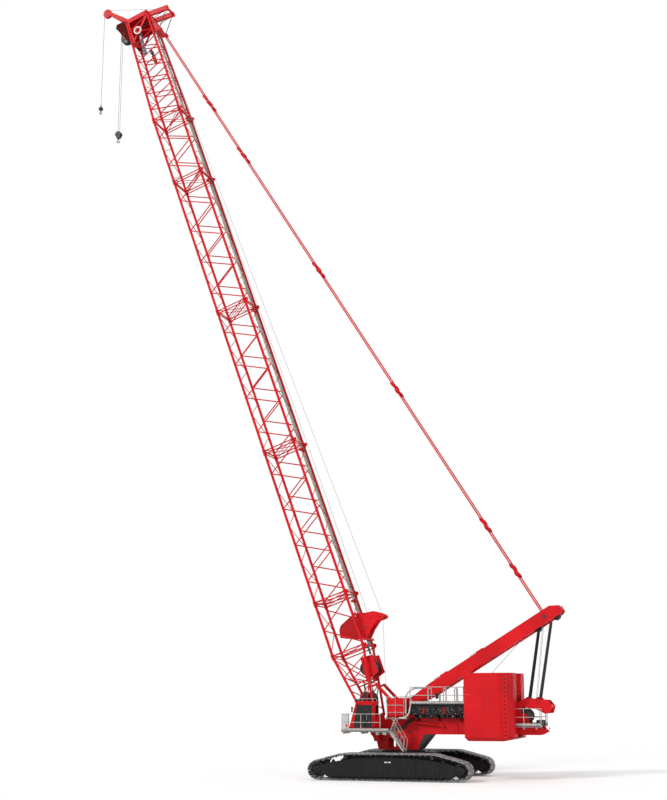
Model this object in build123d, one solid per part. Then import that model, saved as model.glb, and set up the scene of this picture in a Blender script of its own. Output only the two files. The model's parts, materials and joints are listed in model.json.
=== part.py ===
from build123d import *
import os
from math import asin, atan2, cos, degrees, hypot, pi, radians, sin

# Crawler crane at half size, in millimetres. The origin is on the ground under the slewing axis,
# +X points forward to the boom side, +Y to the crane's left and +Z up.

# Crawlers
crawler_length = 5600
crawler_gauge = 3510
shoe_width = 740
track_height = 895
end_wheel_radius = 250
end_wheel_z = 345
top_roller_radius = 70
top_roller_x = 1500
bottom_roller_radius = 95
top_bend_radius = 700
bottom_bend_radius = 500
bottom_roller_count = 11
shoe_count = 62
shoe_gap = 14
shoe_thickness = 34
shoe_root = 10
link_thickness = 30
link_width = 330
frame_width = 500
frame_plate = 62
frame_top = 765
frame_shoulder_z = 560
frame_bottom = 130
roller_shaft_radius = 32
fork_radius = 150

# Carbody and slewing ring
carbody_bottom = 420
carbody_top = 890
carbody_half_x = 1150
carbody_half_y = 820
carbody_bevel = 330
cross_beam_x = 800
cross_beam_width = 460
cross_beam_bottom = 330
cross_beam_top = 740
ring_radius = 680
ring_height = 60

# Rotating bed
bed_half_width = 400
bed_plate = 30
bed_floor_z = 1465
bed_deck_z = 2115
rear_deck_z = 1750
bed_shelf_z = 1600
bed_rear_x = -4875
pedestal_front_x = 775
pedestal_rear_x = -640
pedestal_hole_x = (160, 450)
pedestal_hole_z = (1020, 1330)
foot_lug_radius = 150
foot_lug_plate = 40
foot_beam_half_width = 690

# Boom geometry
boom_angle = 70.48
boom_foot_x = 840
boom_foot_z = 1540
boom_half_depth = 600
boom_half_width = 588
butt_length = 2905
guide_length = 2000
long_insert_length = 6000
long_insert_count = 3
short_insert_length = 3000
top_length = 5100
head_top_v = 560
head_bottom_v = -425
head_half_width = 400
chord_diameter = 90
lacing_diameter = 42
brace_diameter = 30
bay_length = 1500
lacing_sink = 25
lacing_gap = 45
splice_diameter = 126
splice_length = 110
foot_pin_radius = 45
foot_boss_radius = 105
foot_boss_width = 90

# Boom head
main_sheave_t = 30500
main_sheave_v = -745
main_sheave_radius = 250
main_sheave_count = 3
tip_sheave_t = 32100
tip_sheave_v = -1210
tip_sheave_radius = 165
sheave_width = 44
sheave_pitch = 70
sheave_pin_radius = 45
head_plate = 30
strap_pin_t = 29950
strap_pin_v = 850
strap_pin_radius = 34
rear_arm_t = 30750
rear_arm_v = 1500

# Hooks hung from the head sheaves
main_hook_z = 25750
tip_hook_z = 27050
rope_diameter = 16
block_radius = 130
block_width = 150
ball_radius = 95
hook_radius = 80
hook_bar = 34

# Mast
mast_foot_x = 80
mast_foot_z = 2240
mast_pin_x = -5115
mast_pin_z = 5375
mast_overhang = 640
mast_depth = 425
mast_foot_depth = 200
mast_taper_length = 1500
mast_leg_width = 150
mast_half_spread = 285
mast_pin_radius = 40
mast_boss_radius = 90
mast_boss_reach = 5.7

# Pendants between boom head and mast
strap_width = 64
strap_thickness = 12
strap_eye_radius = 60
strap_link_lengths = (0, 3050, 9150, 15250, 21350, 25700)

# Counterweight
weight_front_x = -2475
weight_rear_x = -3725
weight_inner_y = 450
weight_outer_y = 1300
weight_plates = 15
weight_plate_pitch = 140
weight_seam = 6
weight_corner = 260
weight_lug_radius = 30
weight_lug_reach = 35
weight_lug_inset = 60
tray_bottom = 1285
tray_top = 1400

# Rear gantry
gantry_plate = 36
gantry_foot_front_x = -3950
gantry_foot_rear_x = -4180
gantry_end_x = -5275
gantry_sheave_x = (-4440, -4800)
gantry_sheave_z = 2560
gantry_sheave_radius = 150
reeving_pitch = 70
reeving_sheave_width = 44
hoist_drum_x = -4330
hoist_drum_z = 2090
hoist_drum_radius = 230

# Drum on the bed and drum in the boom butt
front_drum_x = -620
front_drum_z = 2010
front_drum_radius = 250
boom_drum_t = 2150
boom_drum_v = 420
boom_drum_radius = 270
boom_drum_width = 760
drum_flange = 26
drum_shaft_radius = 45
drum_stand_plate = 40
drum_stand_head = 90

# Rope guide frame, boom stops and the walkway inside the boom
guide_plate = 24
guide_reach_v = 1900
stop_diameter = 110
stop_half_spread = 470
stop_top = (1500, 560)
stop_barrel_end = (650, 960)
stop_rod_start = (760, 908)
stop_rod_end = (420, 1068)
boom_walk_inner_y = -240
boom_walk_outer_y = -500
boom_walk_thickness = 20

# Machinery, cab and walkways
house_front_x = -475
house_rear_x = -2375
house_inner_y = 412
house_outer_y = 760
house_bottom = 2135
house_top = 2465
house_wall = 20
engine_gap = 40
engine_inset = 300
cab_inner_y = 745
cab_outer_y = 1235
cab_floor_z = 1605
cab_roof_z = 2530
cab_front_x = 1560
cab_roof_front_x = 1340
cab_rear_x = 660
cab_wall = 24
cab_roof_thickness = 45
cab_head_drop = 90
cab_sill_rise = 230
cab_nose_reach = 20
cab_nose_height = 100
door_rear_inset = 60
door_foot_rise = 50
door_overlap = 15
door_hanger_x = (1110, 1250)
door_hanger_width = 44
runner_height = 14
runner_reach = 22
runner_roller_radius = 9
walk_thickness = 45
walk_front_x = 1775
walk_rear_x = 95
walk_inner_y = 700
walk_outer_y = 1525
rail_height = 550
rail_diameter = 22
catwalk_thickness = 30
catwalk_outer_y = 850
post_pitch = 640

# Rear walkways, ladder and service boxes
rear_walk_front_x = -3800
rear_walk_rear_x = -4930
rear_walk_outer_y = 750
rear_walk_z = 1775
ladder_inner_y = 1020
ladder_outer_y = 1400
ladder_foot_x = -350
ladder_foot_z = 930
ladder_stile_width = 60
ladder_stile_plate = 16
ladder_rungs = 8
service_front_x = 330
service_rear_x = -375
service_inner_y = 560
service_outer_y = 840
service_bottom = 2100
service_top = 2680

# Clearances
touch_gap = 0.3
side_gap = 6


def fused(shapes):
    """One part made of a list of shapes."""
    return Part() + list(shapes)


def side_plate(points, y0, y1):
    """A plate whose outline is given in X and Z, from y0 to y1."""
    face = Plane.XZ.offset(-y0) * Polygon(*points, align=None)
    return extrude(face, amount=y1 - y0, dir=(0, 1, 0))


def flat_plate(points, z0, z1):
    """A plate whose outline is given in X and Y, from z0 to z1."""
    face = Plane.XY.offset(z0) * Polygon(*points, align=None)
    return extrude(face, amount=z1 - z0, dir=(0, 0, 1))


def block(x0, x1, y0, y1, z0, z1):
    """A rectangular block between two corners."""
    box = Box(x1 - x0, y1 - y0, z1 - z0)
    return Pos((x0 + x1) / 2, (y0 + y1) / 2, (z0 + z1) / 2) * box


def tube(start, end, diameter, seam=None):
    """A round bar between two points, its seam turned the given way."""
    a, b = Vector(*start), Vector(*end)
    return Solid.make_cylinder(diameter / 2, (b - a).length, Plane(origin=a, x_dir=seam, z_dir=b - a))


def cross_pin(x, z, radius, y0, y1):
    """A round bar along Y at a place in X and Z."""
    return Solid.make_cylinder(radius, y1 - y0, Plane(origin=(x, y0, z), z_dir=(0, 1, 0)))


def ring(x, z, outer, inner, y0, y1):
    """A ring about an axis along Y."""
    return Part() + cross_pin(x, z, outer, y0, y1) - cross_pin(x, z, inner, y0 - 1, y1 + 1)


def mirrored(shape):
    """The same piece on the crane's other side."""
    return mirror(shape, Plane.XZ)


def handrail(points, floor):
    """A handrail along points given in X and Y, with posts no further apart than their pitch."""
    bars = []
    posts = [points[0]]
    for (xa, ya), (xb, yb) in zip(points, points[1:]):
        for level in (rail_height, rail_height / 2):
            bars.append(tube((xa, ya, floor + level), (xb, yb, floor + level), rail_diameter))
        spans = max(1, round(hypot(xb - xa, yb - ya) / post_pitch))
        for i in range(1, spans + 1):
            posts.append((xa + (xb - xa) * i / spans, ya + (yb - ya) * i / spans))
    top = floor + rail_height + rail_diameter * 0.6
    for x, y in posts:
        bars.append(tube((x, y, floor), (x, y, top), rail_diameter * 1.15))
    return bars


part = {}


# Crawlers

track_y = crawler_gauge / 2
belt = link_thickness + shoe_thickness
wheel_x = crawler_length / 2 - end_wheel_radius - belt
top_roller_z = track_height - belt - top_roller_radius
bottom_roller_z = belt + bottom_roller_radius
bottom_roller_x = wheel_x - 440


def track_line(offset):
    """The closed line of the track, offset outwards from the faces of its wheels."""
    top_bend_z = track_height - belt - top_bend_radius
    bottom_bend_z = belt + bottom_bend_radius
    rounds = [
        (wheel_x, end_wheel_z, end_wheel_radius + offset),
        (top_roller_x, top_bend_z, top_bend_radius + offset),
        (-top_roller_x, top_bend_z, top_bend_radius + offset),
        (-wheel_x, end_wheel_z, end_wheel_radius + offset),
        (-bottom_roller_x, bottom_bend_z, bottom_bend_radius + offset),
        (bottom_roller_x, bottom_bend_z, bottom_bend_radius + offset),
    ]
    runs = []
    for (xa, za, ra), (xb, zb, rb) in zip(rounds, rounds[1:] + rounds[:1]):
        length = hypot(xb - xa, zb - za)
        normal = atan2(zb - za, xb - xa) - pi / 2 + asin((ra - rb) / length)
        out_x, out_z = cos(normal), sin(normal)
        runs.append(((xa + ra * out_x, za + ra * out_z), (xb + rb * out_x, zb + rb * out_z)))
    edges = []
    for i, (start, end) in enumerate(runs):
        edges.append(Line(start, end))
        x, z, r = rounds[(i + 1) % len(rounds)]
        after = runs[(i + 1) % len(runs)][0]
        first = atan2(end[1] - z, end[0] - x)
        last = atan2(after[1] - z, after[0] - x)
        middle = first + ((last - first) % (2 * pi)) / 2
        edges.append(ThreePointArc(end, (x + r * cos(middle), z + r * sin(middle)), after))
    return Wire(edges)


def track():
    """One closed track of linked shoes, in the plane Y = 0."""
    links = make_face(track_line(link_thickness)) - make_face(track_line(0))
    half = link_width / 2
    shapes = [extrude(Plane.XZ.offset(half) * links, amount=link_width, dir=(0, 1, 0))]
    line = track_line(link_thickness)
    pins = [line.position_at(i / shoe_count) for i in range(shoe_count + 1)]
    for a, b in zip(pins, pins[1:]):
        middle, way = (a + b) / 2, b - a
        shoe = Box(way.length - shoe_gap, shoe_thickness + shoe_root, shoe_width)
        at = Plane(origin=(middle.X, 0, middle.Y), x_dir=(way.X, 0, way.Y), z_dir=(0, 1, 0))
        shapes.append(at * Pos(0, (shoe_thickness - shoe_root) / 2, 0) * shoe)
    return fused(shapes)


def crawler_frame():
    """One side frame with its forks for the end wheels and a channel for the rollers."""
    half = frame_width / 2
    x_end = wheel_x - end_wheel_radius - 60
    top = [(-x_end, frame_shoulder_z), (0, frame_top), (x_end, frame_shoulder_z)]
    outline = Wire([
        ThreePointArc(*top),
        Line((x_end, frame_shoulder_z), (x_end, frame_bottom)),
        Line((x_end, frame_bottom), (-x_end, frame_bottom)),
        Line((-x_end, frame_bottom), (-x_end, frame_shoulder_z)),
    ])
    body = extrude(Plane.XZ.offset(half) * make_face(outline), amount=frame_width, dir=(0, 1, 0))
    inner = half - frame_plate
    channel_top = bottom_roller_z + bottom_roller_radius + 12
    body -= block(-x_end - 1, x_end + 1, -inner, inner, frame_bottom - 1, channel_top)
    for x in (-top_roller_x, top_roller_x):
        pocket = top_roller_radius + 25
        body -= block(x - pocket, x + pocket, -inner, inner, top_roller_z - pocket, frame_top + 1)
    forks = []
    for end in (-1, 1):
        for side in (-1, 1):
            y0, y1 = sorted((side * inner, side * half))
            arm = side_plate(
                [
                    (end * (x_end - 40), frame_bottom + 60),
                    (end * (x_end - 40), frame_shoulder_z - 20),
                    (end * wheel_x, end_wheel_z + fork_radius),
                    (end * wheel_x, end_wheel_z - fork_radius),
                ],
                y0,
                y1,
            )
            forks += [arm, cross_pin(end * wheel_x, end_wheel_z, fork_radius, y0, y1)]
    return fused([body] + forks)


def track_rollers():
    """The rollers of one crawler, each seated between the frame's side plates."""
    inner = frame_width / 2 - frame_plate - touch_gap
    half = link_width / 2
    shapes = []
    pitch = 2 * bottom_roller_x / (bottom_roller_count - 1)
    places = [(-bottom_roller_x + i * pitch, bottom_roller_z) for i in range(bottom_roller_count)]
    for x, z in places:
        r = bottom_roller_radius - touch_gap
        shapes.append(fused([
            cross_pin(x, z, r, -half, half),
            cross_pin(x, z, roller_shaft_radius, -inner, inner),
        ]))
    for x in (-top_roller_x, top_roller_x):
        r = top_roller_radius - touch_gap
        shapes.append(fused([
            cross_pin(x, top_roller_z, r, -half, half),
            cross_pin(x, top_roller_z, roller_shaft_radius, -inner, inner),
        ]))
    return shapes


def end_wheels():
    """The idler and the drive wheel of one crawler."""
    inner = frame_width / 2 - frame_plate - touch_gap
    half = link_width / 2
    shapes = []
    for x in (-wheel_x, wheel_x):
        rim = ring(x, end_wheel_z, end_wheel_radius - touch_gap, 185, -half, half)
        web = cross_pin(x, end_wheel_z, 190, -40, 40)
        hub = cross_pin(x, end_wheel_z, 90, -inner, inner)
        shapes.append(fused([rim, web, hub]))
    return shapes


frame_part = crawler_frame()
track_part = track()
roller_parts = track_rollers()
wheel_parts = end_wheels()
for name, side in (("left", 1), ("right", -1)):
    place = Pos(0, side * track_y, 0)
    part["crawler_frame_" + name] = place * frame_part
    part["track_" + name] = place * track_part
    part["track_rollers_" + name] = Compound(children=[place * r for r in roller_parts])
    part["end_wheels_" + name] = Compound(children=[place * w for w in wheel_parts])


# Carbody and slewing ring

def carbody():
    """The centre box with its four beams out to the crawler frames."""
    x, y, bevel = carbody_half_x, carbody_half_y, carbody_bevel
    outline = [
        (x - bevel, y), (x, y - bevel), (x, bevel - y), (x - bevel, -y),
        (bevel - x, -y), (-x, bevel - y), (-x, y - bevel), (bevel - x, y),
    ]
    centre = flat_plate(outline, carbody_bottom, carbody_top)
    reach = track_y - frame_width / 2
    shapes = [centre]
    for end in (-1, 1):
        beam = block(
            end * cross_beam_x - cross_beam_width / 2,
            end * cross_beam_x + cross_beam_width / 2,
            -reach,
            reach,
            cross_beam_bottom,
            cross_beam_top,
        )
        shapes.append(beam)
    return fused(shapes)


def slewing_ring():
    """The fixed race of the slewing ring on top of the carbody."""
    race = Cylinder(ring_radius, ring_height) - Cylinder(ring_radius - 130, ring_height)
    return Pos(0, 0, carbody_top + ring_height / 2) * race


part["carbody"] = carbody()
part["slewing_ring"] = slewing_ring()


# Rotating bed

bed_seat_z = carbody_top + ring_height + touch_gap
bed_side_outline = [
    (pedestal_front_x, bed_seat_z),
    (boom_foot_x + 70, bed_floor_z),
    (boom_foot_x + 140, bed_floor_z),
    (boom_foot_x + 140, boom_foot_z + 60),
    (boom_foot_x - 260, 1850),
    (mast_foot_x + 260, 2330),
    (mast_foot_x - 90, 2400),
    (mast_foot_x - 300, bed_deck_z),
    (-2350, bed_deck_z),
    (-2700, rear_deck_z),
    (bed_rear_x, rear_deck_z),
    (bed_rear_x - 165, bed_floor_z + 100),
    (bed_rear_x + 40, bed_floor_z),
    (-1070, bed_floor_z),
    (pedestal_rear_x, bed_seat_z),
]
mast_leg_inner = mast_half_spread - mast_leg_width / 2
mast_leg_outer = mast_half_spread + mast_leg_width / 2


def rotating_bed():
    """Two side plates with floor, decks, cross walls and the boom and mast foot lugs."""
    outer, inner = bed_half_width, bed_half_width - bed_plate
    shapes = [side_plate(bed_side_outline, y0, y1) for y0, y1 in ((inner, outer), (-outer, -inner))]
    shapes += [
        block(-1000, boom_foot_x + 60, -inner, inner, bed_floor_z, bed_floor_z + bed_plate),
        block(bed_rear_x, -1000, -inner, inner, bed_floor_z + 1, bed_floor_z + bed_plate),
        block(-1500, mast_foot_x - 420, -inner, inner, bed_shelf_z, bed_shelf_z + bed_plate),
        block(-2300, -1500, -inner, inner, bed_deck_z - 60, bed_deck_z - 60 + bed_plate),
        block(-2640, -2610, -inner, inner, bed_floor_z, rear_deck_z),
        block(pedestal_rear_x, pedestal_front_x, -inner, inner, bed_seat_z, bed_seat_z + 40),
    ]
    hole = block(*pedestal_hole_x, -2 * outer, 2 * outer, *pedestal_hole_z)
    shapes = [fused(shapes) - hole]
    lugs = []
    boss = boom_half_width
    for side in (-1, 1):
        for offset in (-1, 1):
            middle = side * boss + offset * (foot_boss_width / 2 + side_gap + foot_lug_plate / 2)
            y0, y1 = middle - foot_lug_plate / 2, middle + foot_lug_plate / 2
            lugs.append(cross_pin(boom_foot_x, boom_foot_z, foot_lug_radius, y0, y1))
            web = [
                (boom_foot_x - 140, bed_floor_z - 160),
                (boom_foot_x + 20, bed_floor_z - 160),
                (boom_foot_x + foot_lug_radius, boom_foot_z),
                (boom_foot_x - foot_lug_radius, boom_foot_z),
            ]
            lugs.append(side_plate(web, y0, y1))
    wide = foot_beam_half_width
    lugs.append(block(
        boom_foot_x - 170, boom_foot_x + 20, -wide, wide, bed_floor_z - 230, bed_floor_z - 110
    ))
    for side in (-1, 1):
        y0, y1 = sorted((side * (boss - 95), side * (boss + 95)))
        lugs.append(cross_pin(boom_foot_x, boom_foot_z, foot_pin_radius, y0, y1))
        y0, y1 = sorted((side * (mast_leg_inner - side_gap - 30), side * (mast_leg_inner - side_gap)))
        lug = [
            (mast_foot_x - 170, bed_shelf_z + bed_plate / 2),
            (mast_foot_x + 170, bed_shelf_z + bed_plate / 2),
            (mast_foot_x + 90, mast_foot_z),
            (mast_foot_x - 90, mast_foot_z),
        ]
        lugs += [side_plate(lug, y0, y1), cross_pin(mast_foot_x, mast_foot_z, 90, y0, y1)]
        y0, y1 = sorted((side * (mast_leg_inner - side_gap - 30), side * outer))
        lugs.append(cross_pin(mast_foot_x, mast_foot_z, mast_pin_radius, y0, y1))
    lugs.append(block(
        mast_foot_x - 520, mast_foot_x + 260, -inner, inner, bed_shelf_z, bed_shelf_z + bed_plate
    ))
    return fused(shapes + lugs)


part["rotating_bed"] = rotating_bed()


# Boom, drawn along +X from its foot pin and turned up afterwards

boom_place = Pos(boom_foot_x, 0, boom_foot_z) * Rot(0, -boom_angle, 0)
box_top = butt_length + guide_length + long_insert_count * long_insert_length + short_insert_length
head_start = box_top + top_length


def boom_point(t, v):
    """The world X and Z of a place on the boom, t along it and v towards its back."""
    a = radians(boom_angle)
    return (boom_foot_x + t * cos(a) - v * sin(a), boom_foot_z + t * sin(a) + v * cos(a))


def corners(depths, half_width):
    """The four chord places across the boom, given the belly's and the back's place."""
    low, high = depths
    return [(low, half_width), (high, half_width), (high, -half_width), (low, -half_width)]


def lattice(t0, t1, first, last, bays, sleeves=(True, True), back=True):
    """A lattice section whose chords run between the corner places at its two ends."""

    def at(k, t):
        share = (t - t0) / (t1 - t0)
        (va, wa), (vb, wb) = first[k], last[k]
        return Vector(t, wa + (wb - wa) * share, va + (vb - va) * share)

    def lace(k, t_k, other, t_other, size):
        a, b = at(k, t_k), at(other, t_other)
        sink = (b - a).normalized() * lacing_sink
        return tube(a + sink, b - sink, size)

    bars = []
    for k in range(4):
        out = Vector(0, 1 if first[k][1] > 0 else -1, 1 if first[k][0] > 0 else -1)
        bars.append(tube(at(k, t0 - 60), at(k, t1 + 60), chord_diameter, out))
        if sleeves[0]:
            bars.append(tube(at(k, t0 - 60), at(k, t0 + splice_length), splice_diameter, out))
        if sleeves[1]:
            bars.append(tube(at(k, t1 - splice_length), at(k, t1 + 60), splice_diameter, out))
    faces = [(0, 1, lacing_diameter), (3, 2, lacing_diameter), (0, 3, brace_diameter)]
    if back:
        faces.append((1, 2, brace_diameter))
    inset = splice_length / 2
    span = (t1 - t0 - 2 * inset) / bays
    for k, other, size in faces:
        for i in range(bays):
            a, b = t0 + inset + i * span + lacing_gap, t0 + inset + (i + 1) * span - lacing_gap
            low, high = (k, other) if i % 2 == 0 else (other, k)
            bars.append(lace(low, a, high, b, size))
        for t in (t0 + inset, t1 - inset):
            bars.append(lace(k, t, other, t, size))
    wide, deep = 3 * boom_half_width, 3 * boom_half_depth
    return fused(bars) & block(t0, t1, -wide, wide, -deep, deep)


box_corners = corners((-boom_half_depth, boom_half_depth), boom_half_width)
head_corners = corners((head_bottom_v, head_top_v), head_half_width)


def even_bays(length):
    """How many lattice bays fit in a section, always an even number."""
    return max(2, 2 * round(length / bay_length / 2))


def boom_butt():
    """The tapered foot section with solid cheeks round the foot pins."""
    shapes = []
    foot = corners((-170, 170), boom_half_width)
    shapes.append(lattice(500, butt_length, foot, box_corners, 2, (False, True), back=False))
    for side in (-1, 1):
        y = side * boom_half_width
        cheek = [(0, -foot_boss_radius), (620, -190), (620, 190), (0, foot_boss_radius)]
        half = foot_boss_width / 2
        shapes += [side_plate(cheek, y - 22, y + 22), cross_pin(0, 0, foot_boss_radius, y - half, y + half)]
    butt = fused(shapes)
    bore = cross_pin(0, 0, foot_pin_radius + touch_gap, -2 * boom_half_width, 2 * boom_half_width)
    return butt - bore


def boom_head():
    """The side plates of the head with their pins, and the beam that ties them."""
    shapes = []
    for side in (-1, 1):
        y0 = side * head_half_width - head_plate / 2
        y1 = y0 + head_plate
        plate = [
            (head_start - 1150, head_bottom_v - 30),
            (head_start - 1150, head_bottom_v + 60),
            (head_start - 200, head_top_v + 60),
            (head_start + 60, head_top_v + 60),
            (head_start + 60, head_bottom_v - 60),
            (main_sheave_t + 620, main_sheave_v - 270),
            (main_sheave_t + 40, main_sheave_v - 110),
            (main_sheave_t - 110, main_sheave_v - 30),
        ]
        shapes.append(side_plate(plate, y0, y1))
    half = head_half_width
    for t, v in ((head_start, head_top_v), (head_start, head_bottom_v)):
        shapes.append(tube((t, -half, v), (t, half, v), 110))
    shapes.append(cross_pin(main_sheave_t, main_sheave_v, sheave_pin_radius, -half, half))
    return fused(shapes)


def tip_arm():
    """The runner that carries the single tip sheave ahead of the head."""
    shapes = []
    inner = sheave_width / 2 + side_gap
    outer = inner + head_plate
    for side in (-1, 1):
        y0, y1 = sorted((side * inner, side * outer))
        arm = [
            (head_start - 40, head_bottom_v + 200),
            (head_start + 62, head_bottom_v + 240),
            (tip_sheave_t + 60, tip_sheave_v + 110),
            (tip_sheave_t - 90, tip_sheave_v + 60),
            (head_start - 40, head_bottom_v - 20),
        ]
        shapes += [
            side_plate(arm, y0, y1),
            cross_pin(tip_sheave_t, tip_sheave_v, tip_sheave_radius + 30, y0, y1),
        ]
    shapes.append(cross_pin(tip_sheave_t, tip_sheave_v, sheave_pin_radius, -outer, outer))
    shapes.append(block(head_start + 56, head_start + 110, -outer, outer, head_bottom_v, head_bottom_v + 220))
    return fused(shapes)


def rear_arms():
    """The pendant beams behind the head, with the pins that hold the straps."""
    shapes = []
    for side in (-1, 1):
        y0, y1 = sorted((side * (mast_leg_inner + 20), side * (mast_leg_outer - 20)))
        beam = [
            (head_start - 220, head_top_v + 50),
            (head_start - 20, head_top_v + 50),
            (rear_arm_t + 90, rear_arm_v),
            (rear_arm_t - 120, rear_arm_v),
        ]
        shapes.append(side_plate(beam, y0, y1))
        lug = [
            (strap_pin_t - 90, strap_pin_v),
            (strap_pin_t + 90, strap_pin_v),
            (head_start - 100, head_top_v + 60),
            (head_start - 900, head_top_v - 60),
        ]
        shapes.append(side_plate(lug, y0, y1))
        shapes.append(cross_pin(strap_pin_t, strap_pin_v, 90, y0, y1))
        pin0, pin1 = sorted((side * (mast_leg_inner - 20), side * (mast_leg_outer + 20)))
        shapes.append(cross_pin(strap_pin_t, strap_pin_v, strap_pin_radius, pin0, pin1))
    half = mast_leg_outer
    shapes.append(tube((rear_arm_t, -half, rear_arm_v - 60), (rear_arm_t, half, rear_arm_v - 60), 100))
    return fused(shapes)


def sheaves(x, z, radius, count, pin):
    """A row of grooved sheaves on one hub."""
    shapes = []
    span = (count - 1) * sheave_pitch
    for i in range(count):
        y = -span / 2 + i * sheave_pitch
        wheel = cross_pin(x, z, radius, y - sheave_width / 2, y + sheave_width / 2)
        half = rope_diameter * 0.6
        groove = ring(x, z, radius + 1, radius - rope_diameter, y - half, y + half)
        shapes.append(Part() + wheel - groove)
    hub = span / 2 + sheave_width / 2
    shapes.append(cross_pin(x, z, radius * 0.45, -hub, hub))
    bore = cross_pin(x, z, pin + touch_gap, -span - sheave_width, span + sheave_width)
    return fused(shapes) - bore


sections = [("boom_guide_section", guide_length)]
sections += [("boom_insert_%d" % (i + 1), long_insert_length) for i in range(long_insert_count)]
sections += [("boom_short_insert", short_insert_length)]
built = {}
start = butt_length
part["boom_butt"] = boom_place * boom_butt()
for name, length in sections:
    if length not in built:
        built[length] = lattice(0, length, box_corners, box_corners, even_bays(length))
    part[name] = boom_place * Pos(start, 0, 0) * built[length]
    start += length
top_section = lattice(box_top, head_start, box_corners, head_corners, 6, (True, False))
head_part = boom_head()
arm_part = tip_arm()
rear_part = rear_arms()
part["boom_top_section"] = boom_place * (top_section - head_part - arm_part - rear_part)
part["boom_head"] = boom_place * head_part
part["boom_tip_arm"] = boom_place * (arm_part - head_part)
part["boom_rear_arms"] = boom_place * (rear_part - head_part)
part["head_sheaves"] = boom_place * sheaves(
    main_sheave_t, main_sheave_v, main_sheave_radius, main_sheave_count, sheave_pin_radius
)
part["tip_sheave"] = boom_place * sheaves(
    tip_sheave_t, tip_sheave_v, tip_sheave_radius, 1, sheave_pin_radius
)


# Drums

def drum(x, z, radius, width):
    """A rope drum with flanges, on a plain shaft."""
    half = width / 2
    shapes = [
        cross_pin(x, z, radius * 0.68, -half, half),
        cross_pin(x, z, radius, -half, drum_flange - half),
        cross_pin(x, z, radius, half - drum_flange, half),
    ]
    return fused(shapes)


def drum_stand(x, z, radius, width, foot_z):
    """The two cheeks that carry a drum, with the stub shafts it turns on."""
    shapes = []
    inner = width / 2 + side_gap
    outer = inner + drum_stand_plate
    head = drum_stand_head
    for side in (-1, 1):
        y0, y1 = sorted((side * inner, side * outer))
        cheek = [
            (x - radius, foot_z), (x + radius, foot_z),
            (x + head, z + head * 2 / 3), (x - head, z + head * 2 / 3),
        ]
        shapes += [side_plate(cheek, y0, y1), cross_pin(x, z, head, y0, y1)]
        y0, y1 = sorted((side * (width / 2 - drum_flange), side * outer))
        shapes.append(cross_pin(x, z, drum_shaft_radius, y0, y1))
    return fused(shapes)


def turning_drum(x, z, radius, width):
    """A drum bored out for the stub shafts of its stand."""
    bore = cross_pin(x, z, drum_shaft_radius + touch_gap, -width / 2 - 1, width / 2 + 1)
    return drum(x, z, radius, width) - bore


bed_drum_width = 2 * (bed_half_width - bed_plate - drum_stand_plate - side_gap - 14)
hoist_drum = (hoist_drum_x, hoist_drum_z, hoist_drum_radius, bed_drum_width)
front_drum = (front_drum_x, front_drum_z, front_drum_radius, bed_drum_width)
boom_drum = (boom_drum_t, boom_drum_v, boom_drum_radius, boom_drum_width)
part["luffing_drum"] = turning_drum(*hoist_drum)
part["luffing_drum_stand"] = drum_stand(*hoist_drum, bed_floor_z + bed_plate + touch_gap)
part["bed_drum"] = turning_drum(*front_drum)
part["bed_drum_stand"] = drum_stand(*front_drum, bed_shelf_z + bed_plate + touch_gap)
part["boom_drum"] = boom_place * turning_drum(*boom_drum)


def boom_drum_stand():
    """The cheeks in the boom butt that carry its drum, tied to the back chords."""
    shapes = []
    inner = boom_drum_width / 2 + side_gap
    outer = inner + drum_stand_plate
    for side in (-1, 1):
        y0, y1 = sorted((side * inner, side * outer))
        cheek = [
            (boom_drum_t - 420, 250), (boom_drum_t + 420, 300),
            (boom_drum_t + 380, 760), (boom_drum_t - 260, 760),
        ]
        shapes.append(side_plate(cheek, y0, y1))
        y0, y1 = sorted((side * (boom_drum_width / 2 - drum_flange), side * outer))
        shapes.append(cross_pin(boom_drum_t, boom_drum_v, drum_shaft_radius, y0, y1))
    for t, v in ((boom_drum_t - 360, 330), (boom_drum_t + 360, 520)):
        shapes.append(tube((t, -boom_half_width, v), (t, boom_half_width, v), 70))
    return fused(shapes)


drum_stand_part = boom_drum_stand()
part["boom_butt"] = boom_place * (boom_butt() - drum_stand_part)
part["boom_drum_stand"] = boom_place * drum_stand_part


# Rope guide frame and boom stops

guide_half_width = boom_half_width + guide_plate / 2


def rope_guide():
    """Two plates behind the guide section with the bar and rollers that lead the ropes."""
    shapes = []
    t0 = butt_length + 150
    base = boom_half_depth + chord_diameter / 2 + touch_gap
    for side in (-1, 1):
        y0, y1 = sorted((side * guide_half_width, side * (guide_half_width - guide_plate)))
        outline = [
            (t0, base), (t0 + 1500, base), (t0 + 1150, 1250),
            (t0 + 900, 1750), (t0 + 350, guide_reach_v), (t0 + 200, guide_reach_v - 160),
            (t0 + 420, 1500), (t0 + 380, 1100),
        ]
        plate = side_plate(outline, y0, y1)
        plate -= cross_pin(t0 + 700, 1150, 170, y0 - 1, y1 + 1)
        shapes.append(plate)
    half = guide_half_width
    for t, v in ((t0 + 330, guide_reach_v - 110), (t0 + 850, 1600), (t0 + 120, base + 50)):
        shapes.append(tube((t, -half, v), (t, half, v), 60))
    return fused(shapes)


def boom_stops():
    """Two sprung struts behind the butt that meet the bed when the boom is steep."""
    shapes = []
    for side in (-1, 1):
        y = side * stop_half_spread

        def at(place, y=y):
            return (place[0], y, place[1])

        shapes.append(tube(at(stop_top), at(stop_barrel_end), stop_diameter))
        shapes.append(tube(at(stop_rod_start), at(stop_rod_end), stop_diameter * 0.6))
        chord = (stop_top[0], stop_top[1] - 180)
        shapes.append(tube(at(stop_top), at(chord, side * boom_half_width), 70))
    return fused(shapes)


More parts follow.
